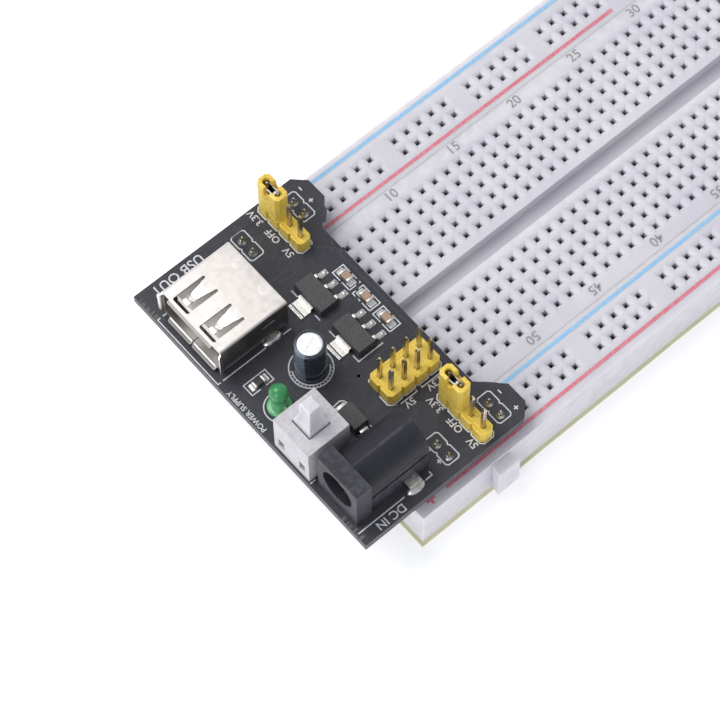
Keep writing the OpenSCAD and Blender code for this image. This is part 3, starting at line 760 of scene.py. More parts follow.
def grid(solid, xs, ys, z, is_open):
    """A level sheet of cells between the given lines, without the cells that are open."""
    for x0, x1 in zip(xs, xs[1:]):
        for y0, y1 in zip(ys, ys[1:]):
            if not is_open((x0 + x1) / 2, (y0 + y1) / 2):
                solid.face((x0, y0, z), (x1, y0, z), (x1, y1, z), (x0, y1, z))


def between(values, low, high):
    """The sorted values strictly between two ends, with the ends."""
    inner = [v for v in values if low + 1e-6 < v < high - 1e-6]
    return [low] + sorted(inner) + [high]


def funnel(solid, cx, cy, top_xs, top_ys):
    """The shallow square funnel and the straight hole of one tie point, down to the contact cavity."""
    wide = FUNNEL[0][0]
    xs, ys = between(top_xs, cx - wide, cx + wide), between(top_ys, cy - wide, cy + wide)
    rims = (
        [(x, ys[0]) for x in xs], [(xs[-1], y) for y in ys],
        [(x, ys[-1]) for x in reversed(xs)], [(xs[0], y) for y in reversed(ys)],
    )
    z = BOARD_TOP
    second, drop = FUNNEL[1]
    corners = ((-1, -1), (1, -1), (1, 1), (-1, 1))
    for k, rim in enumerate(rims):
        a, b = corners[(k + 1) % 4], corners[k]
        inner = [(cx + a[0] * second, cy + a[1] * second), (cx + b[0] * second, cy + b[1] * second)]
        solid.face(*at_height(rim, z), *at_height(inner, z - drop))
    levels = list(FUNNEL[1:]) + [(HOLE / 2, BOARD_TOP - CEILING)]
    rings = [[(cx + sx * w, cy + sy * w, z - d) for sx, sy in corners] for w, d in levels]
    solid.loft(rings, first_cap=False, last_cap=False)


def cavity(solid, x0, x1, y0, y1, holes, floor_xs, floor_ys):
    """A contact cavity under the skin: its ceiling with the holes, and its four walls down to the bottom."""
    half = HOLE / 2
    xs = sorted({x0, x1, *(x + s * half for x, _ in holes for s in (-1, 1))})
    ys = sorted({y0, y1, *(y + s * half for _, y in holes for s in (-1, 1))})

    def is_hole(x, y):
        return any(abs(x - hx) < half and abs(y - hy) < half for hx, hy in holes)

    grid(solid, xs, ys, CEILING, is_hole)
    z = BOARD_BOTTOM
    for y in (y0, y1):
        low = [(x, y, z) for x in between(floor_xs, x0, x1)]
        solid.face(*low, *[(x, y, CEILING) for x in reversed(xs)])
    for x in (x0, x1):
        low = [(x, y, z) for y in between(floor_ys, y0, y1)]
        solid.face(*low, *[(x, y, CEILING) for y in reversed(ys)])


def fillet_corner(y, z, r, quarter, steps=3):
    """Points of a quarter circle: its centre, radius and first quarter turn."""
    angles = [math.pi / 2 * (quarter - k / steps) for k in range(steps + 1)]
    return [(y + r * math.cos(a), z + r * math.sin(a)) for a in angles]


def end_profile(profile, inward):
    """The block's cross-section, drawn in where its ends are rounded. The bottom stays level."""
    moved = inset(profile, inward)
    kept = []
    for (y, z), (my, mz) in zip(profile, moved):
        kept.append((my, z if z < BOARD_BOTTOM + 0.01 else mz))
    return kept


def tie_point_block(name, y_low, y_high, holes, cavities, channel):
    """A moulded block of tie points from y_low to y_high: funnels, holes, cavities and rounded edges."""
    solid = Solid()
    wide = FUNNEL[0][0]
    x_end = BOARD_L / 2
    rows = sorted({y for _, y in holes})
    columns = sorted({x for x, _ in holes})
    flat_xs = sorted(
        {round(x + s * wide, 4) for x in columns for s in (-1, 1)}
        | {round(v, 4) for c in cavities for v in c[:2]}
    )
    flat_ys = sorted({round(y + s * wide, 4) for y in rows for s in (-1, 1)})
    floor_ys = sorted({y_low, y_high} | {round(v, 4) for c in cavities for v in c[2:]})
    r, top, low = EDGE_R, BOARD_TOP, BOARD_BOTTOM
    right_part = [y for y in flat_ys if y < 0 or not channel]
    left_part = [y for y in flat_ys if y > 0 and channel]
    profile = [(y_low, low)] + fillet_corner(y_low + r, top - r, r, 2)
    profile += [(y, top) for y in right_part]
    if channel:
        half, deep, c = CHANNEL_W / 2, top - CHANNEL_DEPTH, r
        profile += fillet_corner(-half - c, top - c, c, 1)
        profile += [(-half, deep), (half, deep)]
        profile += list(reversed([(-y, z) for y, z in fillet_corner(-half - c, top - c, c, 1)]))
        profile += [(y, top) for y in left_part]
    profile += fillet_corner(y_high - r, top - r, r, 1) + [(y_high, low)]
    profile += [(y, low) for y in reversed(floor_ys[1:-1])]
    ordered = list(reversed(profile))
    stations = [(-x_end + out, end_profile(ordered, inward)) for inward, out in ends_of(r)]
    stations += [(x, ordered) for x in flat_xs]
    stations += [(x_end - out, end_profile(ordered, inward)) for inward, out in reversed(ends_of(r))]
    hole_set = {(round(x, 2), round(y, 2)) for x, y in holes}
    count = len(ordered)
    for (x0, first), (x1, second) in zip(stations, stations[1:]):
        for k in range(count):
            m = (k + 1) % count
            if level_with(first[k], first[m], low) or level_with(ordered[k], ordered[m], low):
                continue
            centre = (round((x0 + x1) / 2, 2), round((first[k][0] + first[m][0]) / 2, 2))
            if level_with(first[k], first[m], top) and in_funnel(centre, hole_set, wide):
                continue
            solid.face((x0, *first[k]), (x1, *second[k]), (x1, *second[m]), (x0, *first[m]))
    solid.face(*[(stations[0][0], y, z) for y, z in stations[0][1]])
    solid.face(*[(stations[-1][0], y, z) for y, z in stations[-1][1]])
    floor_xs = [x for x, _ in stations]
    bottom(solid, stations, floor_ys, cavities, count, low)
    for x, y in holes:
        funnel(solid, x, y, flat_xs, flat_ys)
    for x0, x1, y0, y1 in cavities:
        inside = [(x, y) for x, y in holes if x0 < x < x1 and y0 < y < y1]
        cavity(solid, x0, x1, y0, y1, inside, floor_xs, floor_ys)
    return piece(name, solid, angle=24)


def ends_of(r, steps=3):
    """(inward offset, distance from the very end) pairs for a rounded end, the very end first."""
    angles = [math.pi / 2 * k / steps for k in range(steps + 1)]
    return [(END_DRAW * r * (1 - math.sin(a)), r * (1 - math.cos(a))) for a in angles]


def level_with(a, b, z):
    return abs(a[1] - z) < 1e-6 and abs(b[1] - z) < 1e-6


def in_funnel(centre, hole_set, wide):
    """True where a top cell lies inside a tie point's funnel."""
    i = round(centre[0] / PITCH) * PITCH
    near = [(hx, hy) for hx, hy in hole_set if abs(hx - i) < 0.05 and abs(hy - centre[1]) < wide]
    return bool(near) and abs(centre[0] - i) < wide


def bottom(solid, stations, floor_ys, cavities, count, low):
    """The bottom face, open at the contact cavities."""

    def is_open(x, y):
        return any(x0 < x < x1 and y0 < y < y1 for x0, x1, y0, y1 in cavities)

    inner = floor_ys[1:-1]
    for (x0, first), (x1, second) in zip(stations, stations[1:]):
        y_low = [min(y for y, z in part) for part in (first, second)]
        y_high = [max(y for y, z in part) for part in (first, second)]
        lines = [y_low] + [[y, y] for y in inner] + [y_high]
        for a, b in zip(lines, lines[1:]):
            if not is_open((x0 + x1) / 2, (a[0] + b[0]) / 2):
                solid.face((x0, a[0], low), (x1, a[1], low), (x1, b[1], low), (x0, b[0], low))


def tab_outline(cx, cy, turn, grow=0.0):
    """The plan of a dovetail: its root at (cx, cy), pointing to -Y before it is turned."""
    root, tip = TAB_ROOT / 2 + grow, TAB_TIP / 2 + grow
    points = ((-root, 0.3), (-tip, -TAB_OUT - grow), (tip, -TAB_OUT - grow), (root, 0.3))
    a = math.radians(turn)
    return [
        (cx + x * math.cos(a) - y * math.sin(a), cy + x * math.sin(a) + y * math.cos(a)) for x, y in points
    ]


def dovetails(block, tabs, slots):
    """Joins the tabs to a block and cuts the slots out of it."""
    for kind, places, grow in (("UNION", tabs, 0.0), ("DIFFERENCE", slots, TAB_GAP)):
        tools = []
        for x, y, turn in places:
            solid = Solid()
            low = BOARD_BOTTOM + (TAB_LOW if not grow else -0.5)
            high = BOARD_BOTTOM + TAB_HIGH + grow
            solid.prism(tab_outline(x, y, turn, grow), low, high, 0, 0 if grow else 0.15)
            tools.append(piece("dovetail", solid))
        if tools:
            combine(block, tools, kind)


def terminal_strip(plastic):
    holes = [(column_x(i), side * y) for i in range(COLUMNS) for y in ROW_Y for side in (LEFT, RIGHT)]
    half = CLIP_L / 2
    cavities = []
    for i in range(COLUMNS):
        for side in (LEFT, RIGHT):
            x, y = column_x(i), side * ROW_MIDDLE
            cavities.append((x - CAVITY_W / 2, x + CAVITY_W / 2, y - half, y + half))
    block = tie_point_block("terminal_strip_shape", -STRIP_Y, STRIP_Y, holes, cavities, True)
    tabs = [(x, -STRIP_Y, 0) for x in (-TAB_X, TAB_X)] + [(BOARD_L / 2, y, 90) for y in (-TAB_Y, TAB_Y)]
    slots = [(x, STRIP_Y, 0) for x in (-TAB_X, TAB_X)] + [(-BOARD_L / 2, y, 90) for y in (-TAB_Y, TAB_Y)]
    dovetails(block, tabs, slots)
    hand_over(block, "board", "board_plastic", plastic, "terminal_strip")


def power_rail(side, node, plastic):
    holes = [
        (column_x(i), side * y) for i in range(COLUMNS) if in_rail_group(i) for y in RAIL_ROWS_Y
    ]
    cavities = [
        (half * HALF_RAIL_X - HALF_RAIL_L / 2, half * HALF_RAIL_X + HALF_RAIL_L / 2,
         side * y - CAVITY_W / 2, side * y + CAVITY_W / 2)
        for half in (-1, 1) for y in RAIL_ROWS_Y
    ]
    y_low, y_high = sorted((side * RAIL_IN, side * RAIL_OUT))
    block = tie_point_block(node + "_shape", y_low, y_high, holes, cavities, False)
    tabs = [(x, y_low, 0) for x in (-TAB_X, TAB_X)]
    slots = [(x, y_high, 0) for x in (-TAB_X, TAB_X)]
    dovetails(block, tabs, slots)
    hand_over(block, "board", "board_plastic", plastic, node)


def backing():
    """The foam tape with its slightly bulging cut edge, and the paper liner with a soft wave."""
    low, high = box_mm("foam_pad")
    foam = Solid()
    bulge = [(0.12, 0.0), (0.02, 0.25), (0.0, 0.5), (0.02, 0.75), (0.12, 1.0)]
    outline = rounded_rectangle(low.x, low.y, high.x, high.y, 0.6)
    foam.loft([at_height(inset(outline, d), low.z + t * (high.z - low.z)) for d, t in bulge])
    hand_over(piece("foam_tape", foam, 60), "board", "foam", foam_tape(), "foam_pad")
    low, high = box_mm("release_liner")
    liner = Solid()
    wave = []
    steps = 60
    corners = ((low.x, low.y), (high.x, low.y), (high.x, high.y), (low.x, high.y))
    for k, (x, y) in enumerate(corners):
        nx, ny = corners[(k + 1) % 4]
        for s in range(steps):
            t = s / steps
            px, py = x + (nx - x) * t, y + (ny - y) * t
            pull = 0.12 * (0.5 + 0.5 * noise.noise(Vector((px * 0.11, py * 0.13, 3.0)))) if s else 0.05
            px -= math.copysign(pull, px) if abs(px) > high.x - 0.01 else 0
            py -= math.copysign(pull, py) if abs(py) > high.y - 0.01 else 0
            wave.append((px, py))
    liner.prism(wave, low.z, high.z, 0, 0.04, 1)
    hand_over(piece("paper_liner", liner), "board", "liner_paper", liner_paper(), "release_liner")


RAIL_LINE_W = 0.6
RAIL_LINE_X = (1.6, 75.9)
LINES_Y = ((26.05, "blue"), (18.75, "red"), (-18.65, "blue"), (-25.6, "red"))
SIGN_X = 78.9
NUMBER_SIZE = 2.3
NUMBER_LEFT_Y = 16.35
NUMBER_RIGHT_Y = -15.9
NUMBER_SHIFT = 0.8


def board_print():
    """The blue and red rail lines, their signs, and the column numbers."""
    looks = {
        "blue": ink("blue_ink", srgb(104, 178, 226), srgb(188, 204, 220)),
        "red": ink("red_ink", srgb(208, 70, 92), srgb(208, 178, 186)),
    }
    for colour, look in looks.items():
        solid = Solid()
        for y, shade in LINES_Y:
            if shade != colour:
                continue
            for half in (-1, 1):
                ends = [(half * x, y) for x in RAIL_LINE_X]
                stroke(solid, ends, RAIL_LINE_W, BOARD_TOP, INK_T)
                x = half * SIGN_X
                stroke(solid, [(x - 0.8, y), (x + 0.8, y)], 0.4, BOARD_TOP, INK_T)
                if shade == "red":
                    for way in (-1, 1):
                        stroke(solid, [(x, y + way * 0.2), (x, y + way * 0.8)], 0.4, BOARD_TOP, INK_T)
        hand_over(piece(colour + "_rail_print", solid), "board", "board_plastic", look)
    meshes = []
    for n in range(5, COLUMNS, 5):
        x = column_x(n - 1) + NUMBER_SHIFT
        meshes.append(words("number", str(n), (x, NUMBER_LEFT_Y), NUMBER_SIZE, 0, BOARD_TOP))
        x = column_x(COLUMNS - n) + NUMBER_SHIFT
        meshes.append(words("number", str(n), (x, NUMBER_RIGHT_Y), NUMBER_SIZE, 180, BOARD_TOP))
    grey = ink("grey_ink", srgb(120, 116, 118), srgb(182, 180, 184))
    hand_over(joined("column_numbers", meshes), "board", "board_plastic", grey)


# ---------------------------------------------------------------- power module: circuit board and its print


BREAK_OFFS_Y = ((-25.2, -20.6), (21.6, 25.4))


def break_offs():
    """Ragged stubs of laminate in the board's end edge, just inside its outline."""
    random.seed(11)
    solid = Solid()
    x = pcb_low.x
    for y_low, y_high in BREAK_OFFS_Y:
        y = y_low
        while y < y_high:
            wide = random.uniform(0.5, 0.95)
            out = random.uniform(0.05, 0.2)
            deep = random.uniform(0.5, 0.9)
            z_low = pcb_low.z + random.uniform(0.1, 0.4)
            z_high = pcb_high.z + random.uniform(0.01, 0.05)
            ring = [(x + 0.02, y), (x + deep, y + 0.1), (x + deep + 0.2, y + wide - 0.15),
                    (x + 0.02 + out * 0.4, y + wide)]
            solid.prism(ring, z_low, z_high, 0.02, 0.12, 2)
            y += wide * random.uniform(0.9, 1.5)
    hand_over(piece("broken_edge", solid, 25), "power_module", "circuit_board", bare_laminate())


TRACES = (
    ((-63.9, -15.5), (-63.9, 13.5), (-66.5, 16.1)),
    ((-73.2, 4.75), (-67.0, 4.75), (-64.6, 7.2)),
    ((-75.2, 5.35), (-67.4, 5.35)),
    ((-74.2, 14.0), (-70.2, 14.0), (-68.4, 15.8)),
    ((-75.6, 15.2), (-70.8, 15.2)),
    ((-84.6, -4.6), (-84.6, 1.2), (-86.0, 2.6)),
    ((-83.9, -4.4), (-83.9, 3.4), (-81.4, 5.9)),
    ((-77.4, -7.4), (-74.4, -4.4), (-68.9, -4.4)),
    ((-78.2, -12.6), (-73.4, -12.6)),
    ((-78.2, -13.2), (-73.6, -13.2)),
    ((-76.6, -3.6), (-74.9, -5.3), (-74.9, -9.6)),
    ((-72.6, -16.3), (-69.6, -16.3)),
    ((-90.9, 22.4), (-90.9, 6.4), (-89.4, 4.9)),
    ((-78.6, 22.6), (-75.2, 25.2), (-70.9, 25.2)),
    ((-62.2, -17.8), (-60.6, -19.4), (-60.6, -20.4)),
    ((-62.2, 17.8), (-60.6, 19.4), (-60.6, 20.6)),
)
VIAS = ((-63.4, 14.2), (-64.2, 13.2), (-63.1, 12.4), (-76.2, 8.4), (-82.4, -13.9), (-75.4, -16.2))
TRACE_W = 0.45
TRACE_T = 0.04
TRACE_SINK = 0.01
VIA_PROFILE = ((0.42, -0.01), (0.42, 0.02), (0.34, 0.04), (0.16, 0.04), (0.14, -0.01))


def traces():
    """Copper tracks and vias that show as faint ridges under the lacquer."""
    solid = Solid()
    for path in TRACES:
        stroke(solid, path, TRACE_W, PCB_TOP - TRACE_SINK, TRACE_T)
    for x, y in VIAS:
        solid.lathe((x, y, PCB_TOP), VIA_PROFILE, 14)
    lacquer = solder_mask("lacquered_copper", 5)
    hand_over(piece("copper_tracks", solid), "power_module", "circuit_board", lacquer)


def pin_pair_outline(cx, cy, width=2.56, cell=2.6, cut=0.36):
    """Two joined cells along Y with cut corners, open to strokes."""
    w, h = width / 2, cell
    nip = 0.24
    half = [(w, 0 + cut), (w, h - cut), (w - cut, h), (-w + cut, h), (-w, h - cut), (-w, cut)]
    left = [(cx + x, cy + y) for x, y in half]
    right = [(cx - x, cy - y) for x, y in half]
    notch_minus, notch_plus = (cx - w + nip, cy), (cx + w - nip, cy)
    return left + [notch_minus] + right + [notch_plus]


def header_outline(cx, cy, across, along, grow):
    """The stepped outline of a header's cut-cornered cells, a little outside them."""
    half, cut = PITCH / 2, 0.55
    x_end, y_end = across * half + grow, along * half + grow
    points = []

    def walk(count, place):
        for k in range(count):
            start, end = (k - count / 2) * PITCH, (k + 1 - count / 2) * PITCH
            first = start - grow + cut if k == 0 else start + cut * 0.6
            last = end + grow - cut if k == count - 1 else end - cut * 0.6
            points.append(place(first, 0))
            points.append(place(last, 0))
            if k < count - 1:
                points.append(place(end, cut * 0.6))

    walk(across, lambda t, d: (cx + t, cy - y_end + d))
    walk(along, lambda t, d: (cx + x_end - d, cy + t))
    walk(across, lambda t, d: (cx - t, cy + y_end - d))
    walk(along, lambda t, d: (cx - x_end + d, cy - t))
    return points


PIN_PAIRS_Y = (22.4, -21.95)
CHIP_CAPACITORS = ((-65.8, 8.5), (-65.8, 3.9), (-65.8, -0.7))
SIGNS = ((-61.0, -24.1, True), (-61.1, -20.6, False), (-61.25, 22.05, True), (-61.2, 24.6, False),
         (-75.2, -23.2, True), (-75.1, -20.7, False))
LABELS = (
    ("3.3V", -69.6, 25.2, 1.6, 90), ("OFF", -69.6, 21.1, 1.6, 90), ("5V", -69.6, 17.4, 1.6, 90),
    ("3.3V", -69.65, -16.0, 1.6, 90), ("OFF", -69.65, -20.35, 1.6, 90), ("5V", -69.65, -24.2, 1.6, 90),
    ("5V", -72.2, -13.3, 1.6, 180), ("3.3V", -67.3, -13.3, 1.6, 180),
    ("DC IN", -86.2, -25.15, 1.9, 180), ("USB OUT", -84.6, 25.45, 2.3, 180),
    ("POWER SUPPLY", -91.2, 1.3, 1.2, 90),
)


def silk_lines():
    """The white outlines printed round the parts."""
    solid = Solid()
    z = PCB_TOP

    def line(*points, closed=False, width=SILK_W):
        stroke(solid, points, width, z, INK_T, closed)

    for y in PIN_PAIRS_Y:
        for i in (4, 0):
            line(*pin_pair_outline(column_x(i) + 0.1, y), closed=True)
    for node in ("selector_left_base", "selector_right_base"):
        at = middle(node)
        line(*header_outline(at.x, at.y, 1, 4, 0.14), closed=True)
    at = middle("output_header_base")
    line(*header_outline(at.x, at.y, 4, 2, 0.16), closed=True)
    for way in (-1, 1):
        x0, x1 = at.x + way * 0.5, at.x + way * 4.3
        y = at.y - PITCH - 0.75
        line((x0, y + 0.32), (x0, y), (x1, y), (x1, y + 0.32))
    for x, y in CHIP_CAPACITORS:
        line((x - 1.05, y - 1.95), (x + 1.05, y - 1.95), (x + 1.05, y - 0.1))
        line((x + 1.05, y + 0.35), (x + 1.05, y + 1.95), (x - 1.05, y + 1.95), (x - 1.05, y + 0.2))
        line((x - 1.05, y - 0.2), (x - 1.05, y - 1.95))
    x, y = middle("chip_resistor_body").xy
    line((x + 0.6, y - 1.05), (x + 2.05, y - 1.05), (x + 2.05, y + 1.05), (x - 2.05, y + 1.05),
         (x - 2.05, y - 1.05), (x - 0.5, y - 1.05))
    for node in ("regulator_left_case", "regulator_right_case"):
        low, high = box_mm(node)
        line((low.x + 4.4, low.y - 0.42), (low.x - 0.35, low.y - 0.42), (low.x - 0.35, low.y + 0.9))
        line((low.x - 0.35, high.y - 1.3), (low.x - 0.35, high.y + 0.1))
    x, y = middle("diode_case").xy
    line((x - 0.7, y + 3.6), (x + 0.6, y + 3.75), (x + 1.1, y + 3.4), (x + 1.35, y + 2.5))
    line((x + 0.65, y + 2.7), (x + 0.8, y + 2.7), width=0.3)
    line((x + 1.5, y - 2.1), (x + 1.5, y - 2.5))
    line((x - 1.35, y - 2.5), (x - 1.35, y - 2.85))
    x, y = middle("led_lens").xy
    line(*arc(x + 0.1, y - 0.1, 2.5, 0, 300, 30))
    x, y = middle("capacitor_sleeve").xy
    x, y = x + 0.1, y + 0.05
    line(*arc(x, y, 3.35, 0, 360, 40)[:-1], closed=True)
    line(*arc(x, y, 2.85, 150, 330, 24))
    for k in range(17):
        a = math.radians(152 + 10.5 * k)
        line(*[(x + r * math.cos(a), y + r * math.sin(a)) for r in (2.85, 3.35)], width=0.14)
    low, high = box_mm("usb_shell")
    x, y = pcb_low.x + 0.25, low.y - 0.55
    line((-82.4, high.y - 0.15), (x, high.y - 0.15), (x, y), (-82.4, y))
    line((-79.1, y), (-77.6, y))
    y = -24.12
    line((pcb_low.x + 0.4, y), (-82.75, y))
    line((-78.7, y), (-77.4, y), (-77.4, y + 0.7))
    low, high = box_mm("switch_housing")
    line((high.x + 0.35, low.y - 0.1), (high.x + 0.35, low.y - 1.2))
    line((low.x - 0.1, low.y - 0.3), (low.x + 0.9, low.y - 0.3))
    return piece("silk_lines", solid)


def signs(line_solid):
    """Plus and minus signs beside the rail pins."""
    z = PCB_TOP
    for x, y, plus in SIGNS:
        stroke(line_solid, [(x, y - 0.38), (x, y + 0.38)], 0.22, z, INK_T)
        if plus:
            for way in (-1, 1):
                stroke(line_solid, [(x + way * 0.11, y), (x + way * 0.38, y)], 0.22, z, INK_T)


def silk_screen():
    """All white print on the circuit board."""
    white = ink("white_silk", srgb(226, 228, 232), srgb(120, 122, 130), 0.66)
    lines = silk_lines()
    hand_over(lines, "power_module", "circuit_board", white)
    marks = Solid()
    signs(marks)
    hand_over(piece("silk_signs", marks), "power_module", "circuit_board", white)
    meshes = [words("label", text, (x, y), size, turn, PCB_TOP) for text, x, y, size, turn in LABELS]
    hand_over(joined("silk_labels", meshes), "power_module", "circuit_board", white)


# ---------------------------------------------------------------- power module: headers and pins


def header_base(node, across, along, material):
    """Cut-cornered plastic cells with a soft top edge, drilled by their pins."""
    low, high = box_mm(node)
    cx, cy = plan_centre(low, high)
    outline = header_outline(cx, cy, across, along, 0.0)
    solid = Solid()
    solid.prism(outline, low.z, high.z, 0.05, 0.16, 3)
    base = piece(node + "_shape", solid)
    tools = []
    for x, y in header_places(cx, cy, across, along):
        hole = Solid()
        square = rounded_rectangle(x - 0.36, y - 0.36, x + 0.36, y + 0.36, 0.05, 1)
        hole.prism(square, low.z - 0.5, high.z + 0.5)
        tools.append(piece("pin_hole", hole))
    combine(base, tools, "DIFFERENCE")
    hand_over(base, "power_module", "header_yellow", material, node)


def header_places(cx, cy, across, along):
    return [
        (cx + (i - (across - 1) / 2) * PITCH, cy + (j - (along - 1) / 2) * PITCH)
        for i in range(across) for j in range(along)
    ]


def pins(node, places, body="power_module"):
    """Square wire pins with pressed, tapered tips."""
    low, high = box_mm(node)
    solid = Solid()
    for x, y in places:
        w = PIN / 2
        levels = ((low.z, 0.55), (low.z + 0.45, 0.97), (low.z + 0.6, 1.0), (high.z - 0.75, 1.0),
                  (high.z - 0.6, 0.96), (high.z - 0.12, 0.62), (high.z, 0.42))
        rings = [
            at_height(cut_rectangle(x, y, 2 * w * s, 2 * w * s, 0.05), z) for z, s in levels
        ]
        solid.loft(rings)
    hand_over(piece(node + "_shape", solid), body, "pin_metal", shared(tinned_brass), node)


def headers():
    yellow = header_yellow()
    header_base("output_header_base", 4, 2, yellow)
    at = middle("output_header_base")
    pins("output_header_pins", header_places(at.x, at.y, 4, 2))
    for side in ("left", "right"):
        at = middle(f"selector_{side}_base")
        header_base(f"selector_{side}_base", 1, 4, yellow)
        pins(f"selector_{side}_pins", header_places(at.x, at.y, 1, 4))
    pins("rail_header_pins", rail_pin_places())
    nylon = black_plastic("spacer_nylon", srgb(36, 36, 38), srgb(44, 44, 46), srgb(80, 80, 82))
    softened("rail_header_spacers", 0.12, "black_plastic", nylon)


NOTCH_W = 1.5
NOTCH_DEPTH = 1.45


def jumper_cap(side, yellow):
    """A jumper cap: cut corners, a slot in its roof over the clip, and a notch across its top."""
    node = f"jumper_{side}_cap"
    low, high = box_mm(node)
    cx, cy = plan_centre(low, high)
    width, length = high.x - low.x, high.y - low.y
    outer = cut_rectangle(cx, cy, width, length, 0.55)
    slot = cut_rectangle(cx, cy, 1.15, 3.7, 0.3)
    inner = cut_rectangle(cx, cy, 1.4, 4.3, 0.1)
    roof = high.z - 0.7
    rings = [
        at_height(inner, low.z), at_height(outer, low.z), at_height(outer, high.z - 0.18),
        at_height(inset(outer, 0.05), high.z - 0.05), at_height(inset(outer, 0.18), high.z),
        at_height(inset(slot, -0.06), high.z), at_height(slot, high.z - 0.1), at_height(slot, roof),
        at_height(inner, roof),
    ]
    solid = Solid()
    solid.loft(rings, closed_path=True)
    cap = piece(node + "_shape", solid)
    tools = []
    for way in (-1, 1):
        x = cx + way * width / 2
        notch = Solid()
        reach = 1.1
        low_half, top_half = NOTCH_W * 0.28, NOTCH_W / 2
        rings = [
            [(x + d, cy - low_half, high.z - NOTCH_DEPTH), (x + d, cy + low_half, high.z - NOTCH_DEPTH),
             (x + d, cy + top_half, high.z + 0.3), (x + d, cy - top_half, high.z + 0.3)]
            for d in (-way * reach, way * 0.4)
        ]
        notch.loft(rings)
        tools.append(piece("notch", notch))
    combine(cap, tools, "DIFFERENCE")
    hand_over(cap, f"jumper_{side}", "header_yellow", yellow, node)


def jumper_clip(side, material):
    """The two bowed leaves that grip the pins, joined at the top by a folded bridge."""
    node = f"jumper_{side}_clip"
    low, high = box_mm(node)
    cx, cy = plan_centre(low, high)
    solid = Solid()
    steps = 10
    for way in (-1, 1):
        outer, inner = [], []
        for k in range(steps + 1):
            t = k / steps
            y = low.y + t * (high.y - low.y)
            bow = 0.1 * math.sin(math.pi * 2 * t) ** 2
            x = cx + way * (PIN / 2 + 0.05 + bow)
            outer.append((x + way * 0.2, y))
            inner.append((x, y))
        outline = outer + list(reversed(inner))
        solid.prism(outline, low.z, high.z, 0.03, 0.03, 1)
    solid.block((cx - 0.4, cy - 0.3, high.z - 1.5), (cx + 0.4, cy + 0.3, high.z - 1.3), 0.06)
    hand_over(piece(node + "_shape", solid), f"jumper_{side}", "contact_metal", material, node)


# ---------------------------------------------------------------- solder


def dome(solid, x, y, z, r=0.92, top=0.4, height=0.75, sides=20, down=False):
    """A concave solder fillet round a pin."""
    steps = 5
    profile = []
    for k in range(steps + 1):
        t = k / steps
        radius = top + (r - top) * (1 - t) ** 1.7
        profile.append((radius, height * t * (-1 if down else 1)))
    solid.lathe((x, y, z), [(r, 0.03 if down else -0.03)] + profile, sides)


def solder():
    """Solder at the pins: domes on top round the rail pins, and below the board round the others."""
    solid = Solid()
    for x, y in rail_pin_places():
        dome(solid, x, y, PCB_TOP, r=0.7, top=0.38, height=0.6)
    places = header_places(*middle("output_header_base").xy, 4, 2)
    for side in ("left", "right"):
        places += header_places(*middle(f"selector_{side}_base").xy, 1, 4)
    for x, y in places:
        dome(solid, x, y, pcb_low.z, height=0.85, down=True)
    joints = piece("solder_joints_shape", solid)
    hand_over(joints, "power_module", "solder", shared(solder_tin), "solder_joints")


def fillet(solid, x, y, z, way, width, reach, height, across="x"):
    """A concave solder ramp that runs out from an upright face, along +-X or +-Y."""
    steps = 5
    rings = []
    for k in range(steps + 1):
        t = k / steps
        out = -0.08 + (reach + 0.08) * t
        tall = height * (1 - t) ** 2 + 0.04
        half = width / 2 * (1 - 0.18 * t * t)
        ring = [(out, -half, 0.0), (out, half, 0.0), (out, half * 0.9, tall), (out, -half * 0.9, tall)]
        if across == "x":
            rings.append([(x + way * a, y + b, z + c) for a, b, c in ring])
        else:
            rings.append([(x + b, y + way * a, z + c) for a, b, c in ring])
    solid.loft(rings)


def pad(solid, x, y, wide, long, z=None):
    """A tinned pad under a lead."""
    z = PCB_TOP if z is None else z
    solid.block((x - wide / 2, y - long / 2, z - 0.01), (x + wide / 2, y + long / 2, z + 0.05), 0.02, 0.12)


def surface_solder():
    """Pads and fillets of the surface-mount parts, and the blobs on the socket lugs."""
    solid = Solid()
    z = PCB_TOP
    for x, y in CHIP_CAPACITORS:
        for way in (-1, 1):
            pad(solid, x, y + way * 1.15, 1.3, 1.1)
            fillet(solid, x, y + way * 0.98, z, way, 1.2, 0.6, 0.55, "y")
    x, y = middle("chip_resistor_body").xy
    for way in (-1, 1):
        pad(solid, x + way * 1.1, y, 1.1, 1.3)
        fillet(solid, x + way * 0.98, y, z, way, 1.2, 0.55, 0.35)
    for side in ("left", "right"):
        low, high = box_mm(f"regulator_{side}_leads")
        y = (low.y + high.y) / 2
        for step in (-2.3, 0, 2.3):
            pad(solid, high.x - 0.2, y + step, 1.5, 0.95)
            mound(solid, high.x + 0.05, y + step, z, 0.42, 0.4, 0.6)
            mound(solid, high.x - 1.0, y + step, z, 0.3, 0.42, 0.6)
        solid.block((low.x - 0.75, y - 1.55, z), (low.x - 0.14, y + 1.55, z + 0.3), 0.1)
    low, high = box_mm("diode_leads")
    x = (low.x + high.x) / 2
    for y, way in ((low.y, -1), (high.y, 1)):
        pad(solid, x, y - way * 0.25, 1.9, 1.5)
        fillet(solid, x, y - way * 0.05, z, way, 1.5, 0.45, 0.24, "y")
    low, high = box_mm("jack_switch_contact")
    mound(solid, (low.x + high.x) / 2, low.y + 0.1, z, 1.7, 0.95)
    low, high = box_mm("usb_shell")
    for y in (low.y, high.y):
        mound(solid, USB_LEG_X, y, z, 1.75, 0.95)
    hand_over(piece("surface_solder", solid, 40), "power_module", "solder", shared(solder_tin))


def mound(solid, x, y, z, half_long, half_wide, tall=1.0):
    """A low oval mound of solder round a socket's leg."""
    rings = []
    for grow, height in ((1.0, -0.01), (0.96, 0.15), (0.84, 0.33), (0.62, 0.49), (0.46, 0.54)):
        rings.append([
            (x + half_long * grow * math.cos(a), y + half_wide * grow * math.sin(a), z + height * tall)
            for a in turns(24)
        ])
    solid.loft(rings)


# ---------------------------------------------------------------- USB socket


